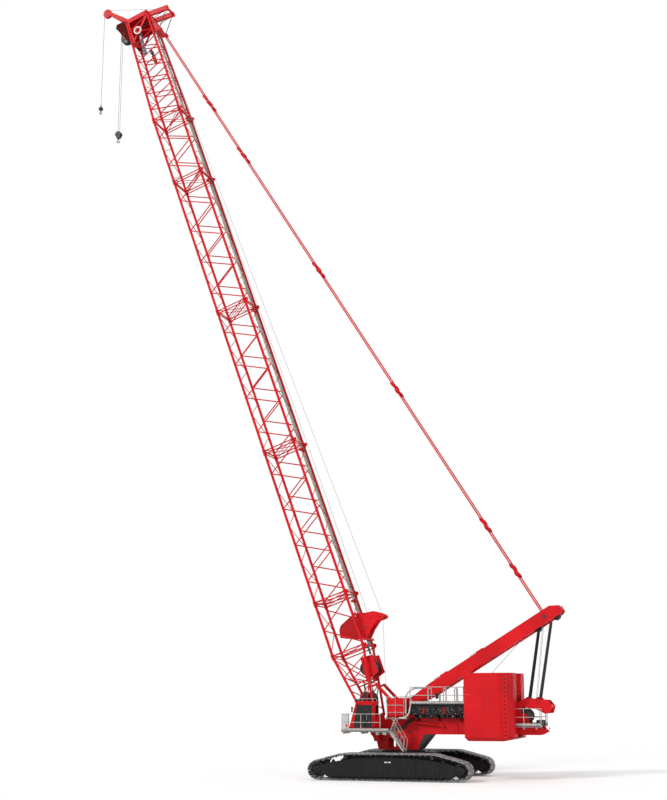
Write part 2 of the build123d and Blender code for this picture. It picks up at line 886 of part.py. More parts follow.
def boom_walkway():
    """The grating strip hung under the back lacing, one length to each section."""
    z1 = boom_half_depth - brace_diameter / 2 - touch_gap
    z0 = z1 - boom_walk_thickness
    lengths, at = [], butt_length
    for name, length in sections:
        lengths.append(block(at + side_gap, at + length - side_gap, boom_walk_outer_y, boom_walk_inner_y, z0, z1))
        at += length
    return Compound(children=[boom_place * plank for plank in lengths])


part["boom_walkway"] = boom_walkway()
part["rope_guide"] = boom_place * rope_guide()
stops = boom_stops()
part["boom_stops"] = boom_place * stops
part["boom_butt"] = part["boom_butt"] - part["boom_stops"]


# Mast, drawn along +X from its foot pin

mast_length = hypot(mast_pin_x - mast_foot_x, mast_pin_z - mast_foot_z)
mast_angle = degrees(atan2(mast_pin_z - mast_foot_z, mast_pin_x - mast_foot_x))
mast_place = Pos(mast_foot_x, 0, mast_foot_z) * Rot(0, -mast_angle, 0)


def mast():
    """Two box legs tied by cross members, with bosses for the foot and strap pins."""
    shapes = []
    low, high = -mast_depth / 2, mast_depth / 2
    end = mast_length + mast_overhang
    outline = [
        (0, -mast_foot_depth / 2), (mast_taper_length, low), (end - 300, low),
        (end, low + 170), (end, high - 60), (end - 120, high), (mast_taper_length, high),
        (0, mast_foot_depth / 2),
    ]
    for side in (-1, 1):
        y0, y1 = sorted((side * mast_leg_inner, side * mast_leg_outer))
        shapes += [side_plate(outline, y0, y1), cross_pin(0, 0, mast_foot_depth / 2, y0, y1)]
        reach = mast_boss_reach
        y0, y1 = sorted((side * (mast_leg_inner - reach), side * (mast_leg_outer + reach)))
        shapes.append(cross_pin(mast_length, 0, mast_boss_radius, y0, y1))
    for t in (mast_length * 0.3, mast_length * 0.62, end - 80):
        shapes.append(block(t - 70, t + 70, -mast_leg_inner, mast_leg_inner, -30, 110))
    bore = cross_pin(0, 0, mast_pin_radius + touch_gap, -mast_leg_outer - 1, mast_leg_outer + 1)
    return fused(shapes) - bore


def reeving_sheaves(x, z, half):
    """A shaft along Y with the row of hoist rope sheaves on it."""
    row = reeving_sheave_width / 2
    places = [(i - 1.5) * reeving_pitch for i in range(4)]
    wheels = [cross_pin(x, z, gantry_sheave_radius, y - row, y + row) for y in places]
    return [cross_pin(x, z, 40, -half, half)] + wheels


def mast_sheaves():
    """The two groups of reeving sheaves hung under the mast head, on the line of the gantry's."""
    shapes = []
    for t in (mast_length - 430, mast_length + 330):
        shapes += reeving_sheaves(t, mast_depth * 0.38, mast_leg_inner)
    return fused(shapes)


part["mast_legs"] = mast_place * mast()
part["mast_sheaves"] = mast_place * mast_sheaves()


# Pendants

head_pin_x, head_pin_z = boom_point(strap_pin_t, strap_pin_v)
strap_length = hypot(head_pin_x - mast_pin_x, head_pin_z - mast_pin_z)
strap_angle = degrees(atan2(head_pin_z - mast_pin_z, head_pin_x - mast_pin_x))
strap_place = Pos(mast_pin_x, 0, mast_pin_z) * Rot(0, -strap_angle, 0)


def pendant_side(side):
    """A pair of flat straps that run beside one mast leg up to the boom head."""
    shapes = []
    inner = side * (mast_leg_inner - 6)
    outer = side * (mast_leg_outer + 6)
    for y, out in ((inner, -side), (outer, side)):
        y0, y1 = sorted((y, y + out * strap_thickness))
        shapes.append(block(0, strap_length, y0, y1, -strap_width / 2, strap_width / 2))
        shapes.append(cross_pin(0, 0, strap_eye_radius, y0, y1))
        shapes.append(cross_pin(strap_length, 0, strap_eye_radius, y0, y1))
    for t in strap_link_lengths[1:]:
        y0, y1 = sorted((inner - side * strap_thickness, outer + side * strap_thickness))
        shapes.append(block(t - 110, t + 110, y0, y1, -50, 50))
    bore = cross_pin(strap_length, 0, strap_pin_radius + touch_gap, -600, 600)
    return fused(shapes) - bore


part["pendants_left"] = strap_place * pendant_side(1)
part["pendants_right"] = strap_place * pendant_side(-1)


# Hooks

def hook(x, z, size):
    """A shank and a round hook below a place in X and Z."""
    shank = tube((x, 0, z), (x, 0, z - size), hook_bar)
    bow = Pos(x, 0, z - size - size * 0.75) * Rot(90, 0, 0) * Torus(size * 0.75, hook_bar / 2)
    gap = block(x - size * 1.5, x - size * 0.25, -size, size, z - size * 1.7, z - size * 0.9)
    return [shank, Part() + bow - gap]


def fall(t, v, radius, ropes, bottom):
    """The ropes that hang from a sheave, and the X of their line."""
    x, z = boom_point(t, v)
    line = x + radius - rope_diameter / 2 + touch_gap
    return [tube((line, y, z), (line, y, bottom), rope_diameter) for y in ropes], line


main_ropes, main_x = fall(
    main_sheave_t, main_sheave_v, main_sheave_radius, (-sheave_pitch, sheave_pitch), main_hook_z
)
tip_ropes, tip_x = fall(tip_sheave_t, tip_sheave_v, tip_sheave_radius, (0,), tip_hook_z)
cheeks = [
    cross_pin(main_x, main_hook_z - 60, block_radius, y - 12, y + 12)
    for y in (-block_width / 2, 0, block_width / 2)
]
main_hook_parts = cheeks + [
    block(main_x - 70, main_x + 70, -block_width / 2, block_width / 2, main_hook_z - 230, main_hook_z - 60),
]
main_hook_parts += hook(main_x, main_hook_z - 220, hook_radius)
part["main_hook_block"] = fused(main_hook_parts) - fused(main_ropes)
part["main_hook_ropes"] = Compound(children=main_ropes)
ball = Pos(tip_x, 0, tip_hook_z - ball_radius * 0.6) * Sphere(ball_radius)
collar = tube((tip_x, 0, tip_hook_z - 20), (tip_x, 0, tip_hook_z + 120), 50)
tip_hook = fused([ball, collar] + hook(tip_x, tip_hook_z - ball_radius * 1.4, hook_radius * 0.8))
part["tip_hook"] = tip_hook - fused(tip_ropes)
part["tip_hook_rope"] = Compound(children=tip_ropes)


# Counterweight

def weight_stack():
    """One stack of counterweight plates, with cut rear corners and a lifting lug on each."""
    x0, x1, y0, y1 = weight_rear_x, weight_front_x, weight_inner_y, weight_outer_y
    cut = weight_corner
    outline = [(x1, y0), (x1, y1), (x0 + cut, y1), (x0, y1 - cut), (x0, y0)]
    shapes = []
    for i in range(weight_plates):
        z = tray_top + touch_gap + i * weight_plate_pitch
        shapes.append(flat_plate(outline, z, z + weight_plate_pitch - weight_seam))
        middle = z + weight_plate_pitch / 2
        lug_x = x0 + cut + weight_lug_inset
        shapes.append(cross_pin(lug_x, middle, weight_lug_radius, y1 - 20, y1 + weight_lug_reach))
    core = block(x0 + 200, x1 - 200, y0 + 150, y1 - 300, tray_top + touch_gap, z + 60)
    return fused(shapes + [core])


def weight_tray():
    """The tray under the stacks, bolted up to the bed."""
    x0, x1, y = weight_rear_x, weight_front_x, weight_outer_y
    outline = [
        (x1, tray_top), (x1 - 120, tray_bottom), (x0 - 60, tray_bottom),
        (x0 - 330, tray_bottom + 50), (x0 - 330, tray_top - 20), (x0 - 150, tray_top),
    ]
    shapes = [side_plate(outline, -y, y)]
    half = bed_half_width - 60
    shapes.append(block(x0 + 100, x1 - 100, -half, half, tray_top - 1, bed_floor_z - touch_gap))
    return fused(shapes)


stack = weight_stack()
part["counterweight_left"] = stack
part["counterweight_right"] = mirrored(stack)
part["counterweight_tray"] = weight_tray()


# Rear gantry

def gantry():
    """The two raised side arms that hold the lower reeving sheaves."""
    shapes = []
    front, rear, end = gantry_foot_front_x, gantry_foot_rear_x, gantry_end_x
    foot_z = rear_deck_z + touch_gap
    outline = [
        (front, foot_z), (front, 2450), (front - 450, 2670), (end + 160, 2605), (end, 2410),
        (end + 75, 2180), (end + 245, 2160), (end + 595, 2325), (rear - 70, 2375), (rear, foot_z),
    ]
    for side in (-1, 1):
        y0, y1 = sorted((side * (bed_half_width - gantry_plate), side * bed_half_width))
        shapes.append(side_plate(outline, y0, y1))
    half = bed_half_width
    for x in gantry_sheave_x:
        shapes += reeving_sheaves(x, gantry_sheave_z, half)
    shapes.append(tube((end + 85, -half, 2400), (end + 85, half, 2400), 110))
    return fused(shapes)


part["rear_gantry"] = gantry() - part["luffing_drum_stand"]


# Machinery houses and catwalks

def house(side):
    """A machinery house beside the bed, open at its ends behind louvred panels."""
    y0, y1 = house_inner_y, house_outer_y
    shell = block(house_rear_x, house_front_x, y0, y1, house_bottom, house_top)
    w = house_wall
    shell -= block(house_rear_x + w, house_front_x - w, y0 + w, y1 - w, house_bottom + w, house_top - w)
    rib = 30
    brackets = []
    for x in (house_rear_x + 200, (house_rear_x + house_front_x) / 2, house_front_x - 200):
        web = Plane.YZ.offset(x - rib / 2) * Polygon(
            (bed_half_width + touch_gap, house_bottom), (y1 - 40, house_bottom),
            (bed_half_width + touch_gap, house_bottom - 260), align=None
        )
        brackets.append(extrude(web, amount=rib, dir=(1, 0, 0)))
    whole = fused([shell] + brackets)
    return whole if side > 0 else mirrored(whole)


part["machine_house_left"] = house(1)
part["machine_house_right"] = house(-1)
part["engine"] = block(
    house_rear_x + engine_inset,
    house_front_x - engine_inset,
    engine_gap - house_outer_y,
    -house_inner_y - engine_gap,
    house_bottom + house_wall + touch_gap,
    house_top - house_wall - engine_gap,
)


def catwalk(side):
    """The walkway over a machinery house, with its handrail on the outer side."""
    floor0 = house_top + touch_gap
    floor1 = floor0 + catwalk_thickness
    y0, y1 = house_inner_y + 20, catwalk_outer_y
    x0, x1 = house_rear_x, house_front_x
    edge = y1 - rail_diameter
    shapes = [block(x0, x1, y0, y1, floor0, floor1)]
    shapes += handrail([(x0 + 20, edge), (x1 - 20, edge)], floor1 - 1)
    whole = fused(shapes)
    return whole if side > 0 else mirrored(whole)


part["catwalk_left"] = catwalk(1)
part["catwalk_right"] = catwalk(-1)


# Cab

cab_nose_x = cab_front_x + cab_nose_reach
cab_nose_z = cab_floor_z + cab_nose_height
cab_outline = [
    (cab_rear_x, cab_floor_z), (cab_front_x, cab_floor_z), (cab_nose_x, cab_nose_z),
    (cab_roof_front_x, cab_roof_z), (cab_rear_x, cab_roof_z),
]
sill_z = cab_floor_z + cab_sill_rise
head_z = cab_roof_z - cab_head_drop
door_top = head_z + door_overlap * 3
runner_z = door_top + side_gap


def cab_line(z, inset):
    """The X of the leaning cab front at height z."""
    share = (z - cab_nose_z) / (cab_roof_z - cab_nose_z)
    return cab_nose_x + (cab_roof_front_x - cab_nose_x) * share - inset


def doorway(grow):
    """The outline of the doorway, grown on every side."""
    x0, z0, z1 = cab_rear_x + door_rear_inset, cab_floor_z + door_foot_rise, door_top - door_overlap
    return [
        (x0 - grow, z0 - grow), (cab_line(sill_z, 130) + grow, z0 - grow),
        (cab_line(sill_z, 130) + grow, sill_z), (cab_line(z1, 60) + grow, z1 + grow),
        (x0 - grow, z1 + grow),
    ]


def cab_shell():
    """The cab's floor, front frame, back and sides, with the doorway and its runners."""
    w = cab_wall
    y0, y1 = cab_inner_y, cab_outer_y
    outer = side_plate(cab_outline, y0, y1)
    z0, z1 = cab_floor_z + w, cab_roof_z + 1
    hollow = [
        (cab_rear_x + w, z0), (cab_front_x - w, z0), (cab_nose_x - w, z0 + cab_nose_height),
        (cab_line(z1, w), z1), (cab_rear_x + w, z1),
    ]
    shell = outer - side_plate(hollow, y0 + w, y1 - w)
    beyond = cab_front_x + 400
    front = [
        (cab_line(sill_z, 90), sill_z), (beyond, sill_z),
        (beyond, head_z), (cab_line(head_z, 90), head_z),
    ]
    shell -= side_plate(front, y0 + 60, y1 - 60)
    side_window = [
        (cab_rear_x + 110, sill_z), (cab_line(sill_z, 90), sill_z),
        (cab_line(head_z, 90), head_z), (cab_rear_x + 110, head_z),
    ]
    shell -= side_plate(side_window, y0 - 1, y0 + w + 1)
    shell -= side_plate(doorway(0), y1 - w - 1, y1 + 1)
    shell -= block(cab_rear_x - 1, cab_rear_x + w + 1, y0 + 90, y1 - 90, sill_z + 250, head_z)
    low = cab_floor_z + door_foot_rise - door_overlap - side_gap
    runners = [
        block(cab_rear_x, cab_line(z + runner_height, 40), y1 - 2, y1 + runner_reach, z, z + runner_height)
        for z in (runner_z, low - runner_height)
    ]
    return fused([shell] + runners)


def cab_door():
    """The sliding door outside the cab's wall, hung on the upper runner by two rollers."""
    y0 = cab_outer_y + side_gap
    y1 = y0 + cab_wall
    door = side_plate(doorway(door_overlap), y0, y1)
    pane = [
        (cab_rear_x + 130, sill_z + 40), (cab_line(sill_z, 210), sill_z + 40),
        (cab_line(head_z, 150), head_z - 40), (cab_rear_x + 130, head_z - 40),
    ]
    door -= side_plate(pane, y0 - 1, y1 + 1)
    shapes = [door]
    hanger_y = cab_outer_y + runner_reach + touch_gap
    roller_z = runner_z + runner_height + touch_gap + runner_roller_radius
    for x in door_hanger_x:
        half = door_hanger_width / 2
        shapes.append(block(x - half, x + half, hanger_y, y1, door_top - 40, roller_z + side_gap))
        shapes.append(cross_pin(x, roller_z, runner_roller_radius, y0, y1))
    return fused(shapes)


def cab_seat():
    """The driver's seat on its pedestal."""
    y = (cab_inner_y + cab_outer_y) / 2
    floor = cab_floor_z + cab_wall + touch_gap
    back_x = cab_rear_x + 90
    cushion_z = floor + 130
    base = block(back_x + 80, back_x + 310, y - 90, y + 90, floor, cushion_z + 5)
    cushion = block(back_x + 40, back_x + 360, y - 140, y + 140, cushion_z, cushion_z + 85)
    rest = [
        (back_x + 50, cushion_z + 60), (back_x + 125, cushion_z + 60),
        (back_x + 75, cushion_z + 500), (back_x, cushion_z + 500),
    ]
    cushion = fillet(cushion.edges().filter_by(Axis.Y), 25)
    return fused([base, cushion, side_plate(rest, y - 130, y + 130)])


def cab_roof():
    """The roof panel of the cab."""
    lift = cab_roof_z + touch_gap
    return block(
        cab_rear_x - 15, cab_roof_front_x + 40, cab_inner_y - 10, cab_outer_y + 10, lift,
        lift + cab_roof_thickness,
    )


def cab_platform():
    """The platform under the cab, with its walkway, handrail and the beams back to the bed."""
    z0 = cab_floor_z - touch_gap - walk_thickness
    z1 = cab_floor_z - touch_gap
    edge = walk_outer_y - rail_diameter
    shapes = [block(walk_rear_x, walk_front_x, walk_inner_y, walk_outer_y, z0, z1)]
    shapes += handrail(
        [
            (walk_front_x - 20, walk_inner_y + 20), (walk_front_x - 20, edge),
            (walk_rear_x + 300, edge),
        ],
        z1 - 1,
    )
    for x in (200, 460):
        shapes.append(block(x, x + 100, bed_half_width + touch_gap, walk_outer_y - 60, z0 - 90, z0 + 1))
    return fused(shapes)


part["cab_shell"] = cab_shell()
part["cab_door"] = cab_door()
part["cab_roof"] = cab_roof()
part["cab_seat"] = cab_seat()
part["cab_platform"] = cab_platform()


# Ladder, service boxes and rear walkways

def access_ladder():
    """The leaning ladder from the track up to the rear end of the cab platform."""
    top_x, top_z = walk_rear_x - touch_gap, cab_floor_z - touch_gap
    run, rise = top_x - ladder_foot_x, top_z - ladder_foot_z
    wide = ladder_stile_width
    stile = [
        (top_x, top_z), (top_x - wide, top_z),
        (ladder_foot_x - wide, ladder_foot_z), (ladder_foot_x, ladder_foot_z),
        (top_x, top_z - wide * rise / run),
    ]
    shapes = []
    for y in (ladder_inner_y, ladder_outer_y - ladder_stile_plate):
        shapes.append(side_plate(stile, y, y + ladder_stile_plate))
    for i in range(ladder_rungs):
        share = (i + 0.6) / ladder_rungs
        x = ladder_foot_x - wide / 2 + run * share
        z = ladder_foot_z + rise * share
        shapes.append(block(x - wide / 3, x + wide / 3, ladder_inner_y, ladder_outer_y, z - 8, z + 8))
    return fused(shapes)


def service_box():
    """The tall box beside the mast foot, on a bracket from the bed."""
    box = block(
        service_rear_x, service_front_x, service_inner_y, service_outer_y,
        service_bottom, service_top,
    )
    uprights = box.edges().filter_by(Axis.Z)
    rounded = fillet(uprights, 30)
    bracket = block(0, 280, bed_half_width + touch_gap, service_outer_y - 60, service_bottom - 70, service_bottom + 1)
    return fused([rounded, bracket])


def rear_walkway():
    """The walkway beside the rear deck, with its handrail and brackets from the bed."""
    y0, y1 = bed_half_width + touch_gap, rear_walk_outer_y
    x0, x1 = rear_walk_rear_x, rear_walk_front_x
    z0 = rear_walk_z - walk_thickness
    shapes = [block(x0, x1, y0, y1, z0, rear_walk_z)]
    edge = y1 - rail_diameter
    shapes += handrail([(x1 - 20, edge), (x0 + 20, edge), (x0 + 20, y0 + 40)], rear_walk_z - 1)
    for x in (x0 + 150, (x0 + x1) / 2, x1 - 180):
        shapes.append(block(x, x + 30, y0, y1 - 60, z0 - 70, z0 + 1))
    return fused(shapes)


part["access_ladder"] = access_ladder()
part["service_box_left"] = service_box()
part["service_box_right"] = mirrored(service_box())
part["rear_walkway_left"] = rear_walkway()
part["rear_walkway_right"] = mirrored(rear_walkway())


# Write one file per piece

os.makedirs("parts", exist_ok=True)
for name, shape in part.items():
    export_step(Part() + [shape], "parts/" + name + ".step")
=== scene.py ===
import json
from itertools import product
from math import asin, atan2, ceil, cos, hypot, pi, radians, sin

import bmesh
import bpy
from mathutils import Matrix, Vector


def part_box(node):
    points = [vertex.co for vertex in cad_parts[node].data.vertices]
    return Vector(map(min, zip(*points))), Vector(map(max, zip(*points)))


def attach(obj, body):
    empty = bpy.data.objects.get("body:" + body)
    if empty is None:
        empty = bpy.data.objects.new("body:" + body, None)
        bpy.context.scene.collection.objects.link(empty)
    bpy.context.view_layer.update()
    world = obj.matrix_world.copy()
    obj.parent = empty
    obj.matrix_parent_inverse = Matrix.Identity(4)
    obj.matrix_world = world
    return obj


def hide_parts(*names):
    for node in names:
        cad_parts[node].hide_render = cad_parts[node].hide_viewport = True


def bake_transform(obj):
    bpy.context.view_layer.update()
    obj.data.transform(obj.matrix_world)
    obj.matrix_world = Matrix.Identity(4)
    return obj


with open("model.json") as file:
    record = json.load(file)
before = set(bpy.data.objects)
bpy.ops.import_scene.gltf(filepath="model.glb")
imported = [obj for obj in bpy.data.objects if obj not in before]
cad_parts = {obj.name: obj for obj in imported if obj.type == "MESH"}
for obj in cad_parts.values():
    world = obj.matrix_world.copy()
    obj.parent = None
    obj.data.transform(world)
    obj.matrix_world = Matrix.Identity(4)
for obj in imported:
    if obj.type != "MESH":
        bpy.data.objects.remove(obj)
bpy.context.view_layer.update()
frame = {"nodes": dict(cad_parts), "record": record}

nodes = frame["nodes"]

# Driving sizes of the crane, in metres
boom_foot = Vector((0.840, 0, 1.540))
boom_angle = radians(70.48)
boom_half_depth = 0.600
boom_half_width = 0.588
butt_length = 2.905
section_lengths = (2.0, 6.0, 6.0, 6.0, 3.0)
top_length = 5.100
head_half_width = 0.400
head_v = (-0.425, 0.560)
main_sheave = (30.500, -0.745, 0.250)
tip_sheave = (32.100, -1.210, 0.165)
boom_drum = (2.150, 0.420)
mast_foot = Vector((0.080, 0, 2.240))
mast_pin = Vector((-5.115, 0, 5.375))
mast_leg_inner, mast_leg_outer = 0.210, 0.360
mast_half_depth = 0.2125
strap_pin = (29.950, 0.850)
strap_links = (1.880, 3.800, 9.860, 15.700, 21.800, 24.750)
gauge_half = 1.755
frame_half = 0.250
wheel_x, wheel_z, wheel_radius = 2.486, 0.345, 0.250
bed_half = 0.400
rail_height = 0.562
rope_radius = 0.006
drum_sides = 40
upward = (0, 0, 1)
along_y = (0, 1, 0)

# Camera of the photo, fitted in perspective
camera_place = Vector((-12.250, 44.380, 2.840))
camera_heading = radians(18.409)
camera_pitch = radians(12.922)
camera_roll = radians(-0.17)
camera_lens = 69.04


def turned(origin, angle):
    """The frame of a long member whose own X runs up at an angle to the ground."""
    return Matrix.Translation(origin) @ Matrix.Rotation(-angle, 4, "Y")


mast_run = mast_pin - mast_foot
boom = turned(boom_foot, boom_angle)
mast = turned(mast_foot, atan2(mast_run.z, mast_run.x))
strap_head = boom @ Vector((strap_pin[0], 0, strap_pin[1]))
strap_run = strap_head - mast_pin
strap = turned(mast_pin, atan2(strap_run.z, strap_run.x))
world = Matrix.Identity(4)


# Mesh building

class Piece:
    """Simple shapes gathered into one mesh, in a frame of their own."""

    def __init__(self, place=world):
        self.place = place
        self.points, self.faces, self.smooth = [], [], []

    def add(self, points, faces, smooth=False):
        base = len(self.points)
        self.points += [self.place @ Vector(p) for p in points]
        self.faces += [[base + i for i in face] for face in faces]
        self.smooth += [smooth] * len(faces)

    def block(self, low, high, cut=0.003):
        """A box with its edges cut."""
        low, high = [min(a, b) for a, b in zip(low, high)], [max(a, b) for a, b in zip(low, high)]
        cut = min([cut] + [(b - a) / 3 for a, b in zip(low, high)])
        index, points = {}, []
        corners = list(product((0, 1), repeat=3))
        for corner in corners:
            for axis in range(3):
                index[corner, axis] = len(points)
                ends = [(low, high)[corner[k]][k] for k in range(3)]
                inward = [0 if k == axis else cut * (1 - 2 * corner[k]) for k in range(3)]
                points.append([e + i for e, i in zip(ends, inward)])
        faces = [[index[corner, k] for k in range(3)] for corner in corners]
        for axis in range(3):
            b, c = (axis + 1) % 3, (axis + 2) % 3
            for side in (0, 1):
                loop = []
                for u, v in ((0, 0), (1, 0), (1, 1), (0, 1)):
                    corner = [0, 0, 0]
                    corner[axis], corner[b], corner[c] = side, u, v
                    loop.append(index[tuple(corner), axis])
                faces.append(loop)
            for u, v in product((0, 1), repeat=2):
                one, two = [0, 0, 0], [0, 0, 0]
                one[b], one[c] = u, v
                two[axis], two[b], two[c] = 1, u, v
                one, two = tuple(one), tuple(two)
                faces.append([index[one, b], index[two, b], index[two, c], index[one, c]])
        self.add(points, faces)

    def plate(self, outline, y0, y1):
        """A plate along Y from an outline in X and Z."""
        y0, y1 = sorted((y0, y1))
        self.prism([(x, y0, z) for x, z in outline], [(x, y1, z) for x, z in outline])

    def prism(self, one, two):
        """A body between two outlines with the same number of corners."""
        count = len(one)
        faces = [list(range(count)), list(range(2 * count - 1, count - 1, -1))]
        faces += [[i, (i + 1) % count, count + (i + 1) % count, count + i] for i in range(count)]
        self.add(one + two, faces)

    def rod(self, start, end, radius, sides=10, cut=0.0):
        """A round bar with its edges cut back if asked."""
        a, b = Vector(start), Vector(end)
        way = (b - a).normalized()
        rings = [(a, radius), (b, radius)]
        if cut:
            rings = [
                (a, radius - cut), (a + way * cut, radius),
                (b - way * cut, radius), (b, radius - cut),
            ]
        self.sweep(rings, sides, True)

    def axle(self, x, z, y0, y1, radius, sides=12, cut=0.0):
        """A round bar along Y."""
        self.rod((x, y0, z), (x, y1, z), radius, sides, cut=cut)

    def pipe(self, points, radius, sides=8):
        """A tube that follows points, with closed ends."""
        self.sweep([(Vector(p), radius) for p in points], sides, True)

    def bent(self, points, bend, radius, sides=8, steps=5):
        """A tube along points whose corners are rounded."""
        self.pipe(curved(points, bend, steps), radius, sides)

    def sweep(self, rings, sides, smooth):
        """A closed skin over rings of given centre and radius."""
        side = None
        points, faces = [], []
        count = len(rings)
        for i, (centre, radius) in enumerate(rings):
            way = rings[min(i + 1, count - 1)][0] - rings[max(i - 1, 0)][0]
            way.normalize()
            if side is None:
                side = way.orthogonal().normalized()
            side = (side - way * side.dot(way)).normalized()
            up = way.cross(side)
            for k in range(sides):
                a = 2 * pi * k / sides
                points.append(centre + (side * cos(a) + up * sin(a)) * radius)
        for i in range(count - 1):
            for k in range(sides):
                n = (k + 1) % sides
                faces.append([i * sides + k, i * sides + n, (i + 1) * sides + n, (i + 1) * sides + k])
        self.add(points, faces, smooth)
        base = (count - 1) * sides
        self.add(
            points[:sides] + points[base:],
            [list(range(sides))[::-1], list(range(sides, 2 * sides))],
        )

    def lathe(self, profile, centre, axis, sides=24):
        """A turned shape: profile gives radius and place along the axis, as a closed loop."""
        centre, axis = Vector(centre), Vector(axis).normalized()
        side = axis.orthogonal().normalized()
        up = axis.cross(side)
        points, faces = [], []
        count = len(profile)
        for k in range(sides):
            a = 2 * pi * k / sides
            out = side * cos(a) + up * sin(a)
            points += [centre + out * r + axis * h for r, h in profile]
        for k in range(sides):
            n = (k + 1) % sides
            for i in range(count):
                j = (i + 1) % count
                faces.append([k * count + i, k * count + j, n * count + j, n * count + i])
        self.add(points, faces)

    def bolt(self, at, way, radius=0.011, height=0.008):
        """A hexagon head on its washer."""
        at, way = Vector(at), Vector(way).normalized()
        self.rod(at, at + way * height * 0.3, radius * 1.5, 10)
        self.sweep([(at, radius), (at + way * height, radius)], 6, False)

    def bolts_round(self, centre, way, ring, count, radius=0.011):
        """Bolts on a circle."""
        centre, way = Vector(centre), Vector(way).normalized()
        side = way.orthogonal().normalized()
        up = way.cross(side)
        for k in range(count):
            a = 2 * pi * (k + 0.5) / count
            self.bolt(centre + (side * cos(a) + up * sin(a)) * ring, way, radius)

    def done(self, name, body, finish, node=None):
        """The mesh as an object that rides a body, in the place of a CAD node if one is named."""
        material, slot = finish
        mesh = bpy.data.meshes.new(name)
        mesh.from_pydata([tuple(p) for p in self.points], [], self.faces)
        mesh.polygons.foreach_set("use_smooth", self.smooth)
        bm = bmesh.new()
        bm.from_mesh(mesh)
        bmesh.ops.recalc_face_normals(bm, faces=bm.faces)
        bm.to_mesh(mesh)
        bm.free()
        mesh.materials.append(material)
        obj = bpy.data.objects.new(name, mesh)
        bpy.context.scene.collection.objects.link(obj)
        if body is not None:
            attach(obj, body)
        if node:
            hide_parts(node)
        return obj

    def stretched(self, name, finish, first, second, start, end):
        """The mesh as an object of its own that rides no body, with its shape fixed in place."""
        obj = self.done(name, None, finish)
        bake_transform(obj)


def both(function):
    """Runs a function for the left side and the right side."""
    for name, side in (("left", 1), ("right", -1)):
        function(name, side)


def even(first, last, count):
    """Values at even steps from first to last, both included."""
    return [first + (last - first) * i / count for i in range(count + 1)]


def rect(x0, x1, z0, z1):
    """The four corners of a rectangle, for an outline or a turned profile."""
    return [(x0, z0), (x1, z0), (x1, z1), (x0, z1)]


def curved(points, radius, steps):
    """Points along a path whose corners are rounded."""
    points = [Vector(p) for p in points]
    line = [points[0]]
    for before, corner, after in zip(points, points[1:], points[2:]):
        a, b = before - corner, after - corner
        cut = min(radius, a.length * 0.45, b.length * 0.45)
        start, end = corner + a.normalized() * cut, corner + b.normalized() * cut
        for i in range(steps + 1):
            s = i / steps
            line.append(start * (1 - s) ** 2 + corner * 2 * s * (1 - s) + end * s * s)
    return line + [points[-1]]


# Materials

class Nodes:
    """The node tree of a material or a surround, with short ways to add to it."""

    def __init__(self, owner, shader):
        owner.use_nodes = True
        self.tree = owner.node_tree
        self.shader = self.tree.nodes[shader]

    def feed(self, socket, value):
        """Gives an input a number, a colour or another node's result."""
        if isinstance(value, bpy.types.NodeSocket):
            self.tree.links.new(value, socket)
        else:
            socket.default_value = (*value, 1) if socket.type == "RGBA" else value

    def finish(self, values):
        """Feeds inputs of the shader by name."""
        for key, value in values.items():
            self.feed(self.shader.inputs[key], value)

    def add(self, kind, values):
        """A new node with inputs fed by name."""
        node = self.tree.nodes.new("ShaderNode" + kind)
        for key, value in values.items():
            self.feed(node.inputs[key], value)
        return node

    def place(self):
        """The object's own coordinates."""
        return self.add("TexCoord", {}).outputs["Object"]

    def noise(self, scale, detail, stretch=(1.0, 1.0, 1.0)):
        """The value of a noise, stretched along the axes if asked."""
        place = self.add("Mapping", {"Vector": self.place(), "Scale": stretch}).outputs["Vector"]
        return self.add("TexNoise", {"Vector": place, "Scale": scale, "Detail": detail}).outputs["Fac"]

    def ramp(self, value, low, high, start, end):
        """A value spread from low to high between two levels of another."""
        limits = {"Value": value, "From Min": start, "From Max": end, "To Min": low, "To Max": high}
        return self.add("MapRange", limits).outputs["Result"]

    def mixed(self, factor, one, two):
        """A colour between two, each a colour or another node's result."""
        node = self.add("Mix", {})
        node.data_type = "RGBA"
        for socket, value in ((node.inputs["Factor"], factor), (node.inputs[6], one), (node.inputs[7], two)):
            self.feed(socket, value)
        return node.outputs[2]

    def bump(self, height, strength, distance):
        """Relief from a height."""
        relief = self.add("Bump", {"Strength": strength, "Distance": distance, "Height": height})
        self.finish({"Normal": relief.outputs["Normal"]})


def new_material(name):
    """An empty material and its nodes."""
    material = bpy.data.materials.new(name)
    return material, Nodes(material, "Principled BSDF")


def paint(name, colour, dust, dust_amount, roughness=(0.36, 0.55), coat=0.03):
    """Sprayed machine paint: slow change of tone, rain streaks, dust and orange peel."""
    material, look = new_material(name)
    shade = tuple(c * 0.80 for c in colour)
    tone = look.mixed(look.ramp(look.noise(0.9, 3), 0, 1, 0.35, 0.65), colour, shade)
    worn = look.ramp(look.noise(5.0, 5, (3.0, 3.0, 0.25)), 0, dust_amount, 0.52, 0.78)
    specks = look.ramp(look.noise(38.0, 6), 0, 0.22, 0.60, 0.80)
    look.finish({
        "Base Color": look.mixed(specks, look.mixed(worn, tone, dust), shade),
        "Roughness": look.ramp(look.noise(4.0, 4), roughness[0], roughness[1], 0.3, 0.7),
        "Specular IOR Level": 0.14, "Coat Weight": coat, "Coat Roughness": 0.25,
    })
    look.bump(look.noise(120.0, 2), 0.02, 0.001)
    return material


def metal(name, light, dark, scale, roughness, metallic, relief=0.25, grain=90.0):
    """Bare or plated metal, mottled between two tones."""
    material, look = new_material(name)
    mottle = look.ramp(look.noise(scale, 6), 0, 1, 0.38, 0.62)
    look.finish({
        "Base Color": look.mixed(mottle, light, dark), "Metallic": metallic,
        "Roughness": look.ramp(look.noise(scale * 2.7, 5), roughness[0], roughness[1], 0.3, 0.7),
    })
    look.bump(look.noise(grain, 4), relief, 0.003)
    return material


